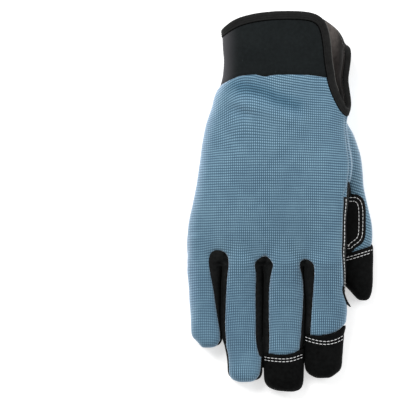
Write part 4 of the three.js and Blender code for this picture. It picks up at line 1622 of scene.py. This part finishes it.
def white_stitches(sizes):
    """All rows of white thread, on the seams of the caps, the patches and the index side."""
    base_skin()
    bm = bmesh.new()

    def sew(path, side, wanted, lift, least=LEAST_TURNED_UP):
        for run in dropped_runs(path, side, wanted, least):
            add_stitches(bm, run, lift, sizes)

    def row(outline, offset, closed):
        return even_path(moved_in(outline, offset, closed), ROW_SPACING, closed)

    # An edge, how far from it its rows lie, the side that they are seen from, the X that they
    # run from and to, and the height that they stay below
    edges = (
        (INDEX_CAP_ROW, (0, 2), 1, 17.2, 44.2, 30),
        (MIDDLE_CAP_ROW, (0, 1.9), 1, -10.6, 15.8, 30),
        (THUMB_CAP_EDGE, (2.3, 4.1), 1, 36, 63.2, 18.5),
        (TOUCH_TIP_EDGE, (2.0, 3.9), -1, 17.2, 44.2, 30),
        (THUMB_CAP_UNDER, (2.0, 3.9), -1, 24, 62.5, 30),
    )
    for edge, offsets, side, low, high, highest in edges:
        for offset in offsets:
            path = row(edge, offset, False)
            path = path[(path[:, 0] > low) & (path[:, 0] < high)]
            sew(path, side, lambda p: p[2] < highest, 1.0)
    for outline, rise in ((PALM_PATCH_OUTER, PATCH_RISE), (PALM_PATCH_INNER, 2 * PATCH_RISE)):
        for offset in (1.6, 3.7):
            sew(row(outline, offset, True), -1, lambda p: p[2] < PALM_PATCH_HIGHEST, rise + 0.12)
    for offset in (2.3, 4.9):
        sew(row(SADDLE_TOP, offset, True), 1, lambda p: p[2] < 21.5 and p[0] > 40, PATCH_RISE + 0.1)
    for offset in (1.8, 3.7):
        path = moved_in(SADDLE_SEAM, offset, False)
        path = path[gusset_field(np.hstack([path, path[:, :1] * 0])) < -0.8]
        sew(even_path(path, ROW_SPACING, False), -1, lambda p: True, PATCH_RISE + 0.1, 0.12)
    add_stitches(bm, strip_path(0.8, 1.4, -66), 0.12, sizes)
    return bm


def strip_end_mesh():
    """The end of the strip down the index side, which curls away from the finger."""
    base_skin()
    rings = []
    angle = np.arange(12) * 2 * np.pi / 12
    for y, level, off, half in STRIP_END:
        place, _ = first_met((FAR_ASIDE, y, level), (-1, 0, 0))
        x = place.x + off + half * np.cos(angle)
        z = level + half * 0.9 * np.sin(angle)
        rings.append(np.stack([x, y + 0.5 * half * np.cos(angle), z], axis=1))
    return tube(rings)


def tape_stitches(sizes):
    """The dark row of stitches that holds the tape where it is doubled over; wide and near-black, it
    also paints the shadow along the tape's inner edge.
    """
    base_skin()
    bm = bmesh.new()
    path = made["mouth_path"]
    found = []
    for place, way in zip(path, ways_along(path, True)):
        inward = np.cross(on_skin(place)[1], way)
        if mouth_field((place + inward)[None, :])[0] > mouth_field(place[None, :])[0]:
            inward = -inward
        found.append(np.concatenate(on_skin(place + inward * (BINDING_WIDTH + 0.2))))
    found.append(found[0])
    add_stitches(bm, np.array(found), 0.2, sizes, 1.7, 1.5)
    return bm


def length_property(name, description, default, least, most):
    return bpy.props.FloatProperty(
        name=name, description=description + ", in millimetres", default=default, min=least, max=most,
    )


class GloveSizes(bpy.types.PropertyGroup):
    """The sizes that change how the glove is sewn."""

    wall: length_property("Wall", "Thickness of the padded cloth", WALL, 1, 4)
    stitch_pitch: length_property("Stitch pitch", "From one white stitch to the next", 2.5, 1, 8)
    stitch_length: length_property("Stitch length", "Length of a white stitch", 2.15, 0.5, 7)
    stitch_width: length_property("Stitch width", "Width of a white stitch", 0.5, 0.2, 2)
    camera_height: bpy.props.FloatProperty(
        name="Camera height", description="Height of the camera above the floor",
        default=2.5, min=0.5, max=10, unit="LENGTH", subtype="DISTANCE",
    )


def colour_property(name, description, default):
    return bpy.props.FloatVectorProperty(
        name=name, description=description, default=default, size=3, min=0, max=1, subtype="COLOR",
    )


class GloveColours(bpy.types.PropertyGroup):
    """The colours of the glove's cloths, leathers and threads."""

    knit_light: colour_property("Knit ribs", "Top of the knit's ribs", (0.215, 0.36, 0.47))
    knit_dark: colour_property("Knit valleys", "Between the knit's ribs", (0.022, 0.055, 0.09))
    leather: colour_property("Leather", "Palm, finger fronts and thumb front", (0.0075, 0.0092, 0.0092))
    cap: colour_property("Caps", "Caps, strips and thumb patch", (0.0036, 0.0038, 0.0038))
    patch: colour_property("Patches", "Padded patches of the palm", (0.0068, 0.0088, 0.0084))
    touch: colour_property("Touch tip", "Front of the index fingertip", (0.026, 0.031, 0.034))
    cuff: colour_property("Cuff", "Jersey of the cuff", (0.0088, 0.0112, 0.0118))
    tape: colour_property("Tape", "Binding of the cuff", (0.0102, 0.0104, 0.0101))
    lining: colour_property("Lining", "Brushed lining", (0.087, 0.075, 0.069))
    thread: colour_property("Thread", "White thread", (0.9, 0.9, 0.9))


def settings():
    scene = bpy.context.scene
    return scene.glove_sizes, scene.glove_colours


class GLOVE_OT_knit_panels(bpy.types.Operator):
    """Makes the ribbed knit back and the knit back of the thumb"""

    bl_idname = "glove.knit_panels"
    bl_label = "Knit panels"

    def execute(self, context):
        look = knit_look(settings()[1])
        for name in ("back_panel", "thumb_back"):
            piece = sewn_panel(name, "_knit", look)
            add_weave(piece, name == "thumb_back")
        return {"FINISHED"}


class GLOVE_OT_leather_panels(bpy.types.Operator):
    """Makes the palm with the fronts of the fingers, and the front of the thumb"""

    bl_idname = "glove.leather_panels"
    bl_label = "Leather panels"

    def execute(self, context):
        look = leather_look("palm_leather", settings()[1].leather, 0.04, 0.72)
        fronts = ("palm_panel", "pinky_front", "ring_front", "middle_front", "index_front")
        sewn_panel("palm_panel", "_leather", look, nodes=fronts)
        sewn_panel("thumb_palm", "_leather", look)
        return {"FINISHED"}


class GLOVE_OT_strips(bpy.types.Operator):
    """Makes the three strips between the fingers and the loose end of the index side's strip"""

    bl_idname = "glove.strips"
    bl_label = "Strips between the fingers"

    def execute(self, context):
        # The strips' leather is painted lighter, as if lit from above, and painted shade darkens it
        # where it turns away
        painted_light_and_shade = shade(settings()[1].cap, 2.1)
        look = leather_look("strip_leather", painted_light_and_shade, 0.02, 0.78, shine=0.05, painted_light_and_shade=True)
        for i in range(len(FOURCHETTES)):
            name = f"fourchette_{i + 1}"
            piece = sewn_panel(
                name, "_strip", look, lambda distance: sewn_in(distance) - STRIP_SUNK
            )
            add_painted_shade(piece)
        new_piece("index_side_strip_end", strip_end_mesh(), look)
        return {"FINISHED"}


class GLOVE_OT_caps(bpy.types.Operator):
    """Makes the leather caps of the index finger, the middle finger and the thumb"""

    bl_idname = "glove.caps"
    bl_label = "Leather caps"

    def execute(self, context):
        look = leather_look("cap_leather", settings()[1].cap, 0.01, 0.66, shine=0.03)
        for name in ("index_cap", "middle_cap", "thumb_cap"):
            sewn_panel(name, "_leather", look, laid_on, CAP_THICKER)
        return {"FINISHED"}


class GLOVE_OT_touch_tip(bpy.types.Operator):
    """Makes the grey front of the index fingertip"""

    bl_idname = "glove.touch_tip"
    bl_label = "Touch tip"

    def execute(self, context):
        look = leather_look("touch_leather", settings()[1].touch, 0.03, 0.5, 1400)
        sewn_panel("touch_tip", "_leather", look, laid_on, CAP_THICKER)
        return {"FINISHED"}


class GLOVE_OT_patches(bpy.types.Operator):
    """Makes the two padded patches of the palm and the patch round the thumb's root"""

    bl_idname = "glove.patches"
    bl_label = "Padded patches"

    def execute(self, context):
        _, colours = settings()
        look = leather_look("patch_leather", colours.patch, 0.04, 0.7)
        dark = leather_look("thumb_patch_leather", colours.cap, 0.01, 0.66, shine=0.05)
        patches = (
            ("palm_patch_outer", palm_patch(PALM_PATCH_OUTER), PATCH_RISE, palm_faces, look),
            ("palm_patch_inner", palm_patch(PALM_PATCH_INNER), 2 * PATCH_RISE, palm_faces, look),
            ("thumb_patch", saddle, PATCH_RISE, saddle_faces, dark),
        )
        for name, field, height, keep, leather in patches:
            def rise(distance, height=height):
                full = 1 - nearness(distance, 0.8)
                return height - PATCH_RISE * PATCH_EDGE + PATCH_RISE * PATCH_EDGE * full

            bm = patch_mesh(field, rise, keep)
            piece = new_piece(name + "_leather", bm, leather, (name,))
            thicken(piece, PATCH_RISE)
        return {"FINISHED"}


class GLOVE_OT_cuff(bpy.types.Operator):
    """Makes the jersey-faced neoprene cuff"""

    bl_idname = "glove.cuff"
    bl_label = "Cuff"

    def execute(self, context):
        look = neoprene_look(settings()[1])
        sewn_panel("cuff", "_jersey", look, lambda distance: sewn_in(distance) - CUFF_SUNK)
        return {"FINISHED"}


class GLOVE_OT_binding(bpy.types.Operator):
    """Makes the tape round the mouth and the slit, and the row of stitches that holds it, dark enough
    to paint the shadow at the tape's inner edge
    """

    bl_idname = "glove.binding"
    bl_label = "Binding"

    def execute(self, context):
        sizes, colours = settings()
        look = tape_look(colours)
        new_piece("cuff_binding_tape", binding_mesh(), look, ("cuff_binding",))
        # Near-black thread: real stitches that also stand in as painted shadow along the tape's inner
        # edge
        thread = thread_look("dark_thread_painted_shadow", shade(colours.tape, 0.15), 0.02)
        new_piece("cuff_binding_thread", tape_stitches(sizes), thread)
        return {"FINISHED"}


class GLOVE_OT_lining(bpy.types.Operator):
    """Makes the brushed lining that shows in the mouth and the slit"""

    bl_idname = "glove.lining"
    bl_label = "Lining"

    def execute(self, context):
        _, colours = settings()
        look = lining_look(colours)
        piece = new_piece("cuff_lining_pile", lining_mesh(), look, ("cuff_lining",))
        thicken(piece, LINING_THICKNESS)
        # The lining's edge, painted light grey as a highlight along the tape's inner edge
        edge = thread_look("lining_edge_highlight", LIP_HIGHLIGHT_COLOUR, 0.05)
        new_piece("cuff_lining_edge", lining_edge_mesh(), edge)
        return {"FINISHED"}


class GLOVE_OT_stitches(bpy.types.Operator):
    """Makes the rows of white stitches"""

    bl_idname = "glove.stitches"
    bl_label = "White stitches"

    def execute(self, context):
        sizes, colours = settings()
        look = thread_look("white_thread", colours.thread)
        new_piece("white_stitches", white_stitches(sizes), look)
        return {"FINISHED"}


class GLOVE_OT_stage(bpy.types.Operator):
    """Makes the floor, the light and the camera"""

    bl_idname = "glove.stage"
    bl_label = "Stage"

    def execute(self, context):
        sizes, _ = settings()
        scene = context.scene
        scene.view_settings.view_transform = "Standard"
        bm = bmesh.new()
        bmesh.ops.create_grid(bm, x_segments=1, y_segments=1, size=FLOOR_HALF)
        mesh = bpy.data.meshes.new("floor")
        bm.to_mesh(mesh)
        bm.free()
        floor = bpy.data.objects.new("floor", mesh)
        scene.collection.objects.link(floor)
        paper = Cloth("floor_paper")
        glow = {"Base Color": (FLOOR_GREY, FLOOR_GREY, FLOOR_GREY, 1), "Roughness": 0.9}
        glow.update({"Emission Color": (1, 1, 1, 1), "Emission Strength": FLOOR_GLOW})
        paper.node_output(paper.node("ShaderNodeBsdfPrincipled", None, glow))
        floor.data.materials.append(paper.material)
        world = bpy.data.worlds.new("studio")
        world.use_nodes = True
        background = world.node_tree.nodes["Background"].inputs
        background["Color"].default_value = (1, 1, 1, 1)
        background["Strength"].default_value = SURROUND
        scene.world = world
        for name, spot, size, power in LIGHTS:
            light = bpy.data.lights.new(name, "AREA")
            light.shape = "SQUARE"
            light.size = size
            light.energy = power
            lamp = bpy.data.objects.new(name, light)
            lamp.location = spot
            lamp.rotation_euler = Vector(spot).to_track_quat("Z", "Y").to_euler()
            scene.collection.objects.link(lamp)
        lens = bpy.data.cameras.new("camera")
        lens.sensor_width = SENSOR_WIDTH
        distance = sizes.camera_height - FOCUS_LEVEL * MM
        lens.lens = SENSOR_WIDTH * distance / (FRAME_WIDTH * MM)
        lens.clip_end = 50
        camera = bpy.data.objects.new("camera", lens)
        camera.location = (FRAME_CENTRE[0] * MM, FRAME_CENTRE[1] * MM, sizes.camera_height)
        scene.collection.objects.link(camera)
        scene.camera = camera
        return {"FINISHED"}


OPERATORS = (
    GLOVE_OT_knit_panels, GLOVE_OT_leather_panels, GLOVE_OT_strips, GLOVE_OT_caps,
    GLOVE_OT_touch_tip, GLOVE_OT_patches, GLOVE_OT_cuff, GLOVE_OT_binding, GLOVE_OT_lining,
    GLOVE_OT_stitches, GLOVE_OT_stage,
)


class GLOVE_PT_sidebar(bpy.types.Panel):
    """Lists the glove's sizes, colours and pieces"""

    bl_idname = "GLOVE_PT_sidebar"
    bl_label = "Work glove"
    bl_space_type = "VIEW_3D"
    bl_region_type = "UI"
    bl_category = "Glove"

    def draw(self, context):
        layout = self.layout
        for group in settings():
            box = layout.box()
            for name in group.__annotations__:
                box.prop(group, name)
        for operator in OPERATORS:
            layout.operator(operator.bl_idname)


CLASSES = (GloveSizes, GloveColours, *OPERATORS, GLOVE_PT_sidebar)


def register():
    for cls in CLASSES:
        bpy.utils.register_class(cls)
    bpy.types.Scene.glove_sizes = bpy.props.PointerProperty(type=GloveSizes)
    bpy.types.Scene.glove_colours = bpy.props.PointerProperty(type=GloveColours)


def unregister():
    del bpy.types.Scene.glove_colours
    del bpy.types.Scene.glove_sizes
    for cls in reversed(CLASSES):
        bpy.utils.unregister_class(cls)


def main():
    register()
    bpy.ops.glove.knit_panels()
    bpy.ops.glove.leather_panels()
    bpy.ops.glove.strips()
    bpy.ops.glove.caps()
    bpy.ops.glove.touch_tip()
    bpy.ops.glove.patches()
    bpy.ops.glove.cuff()
    bpy.ops.glove.binding()
    bpy.ops.glove.lining()
    bpy.ops.glove.stitches()
    bpy.ops.glove.stage()


if __name__ == "__main__":
    main()
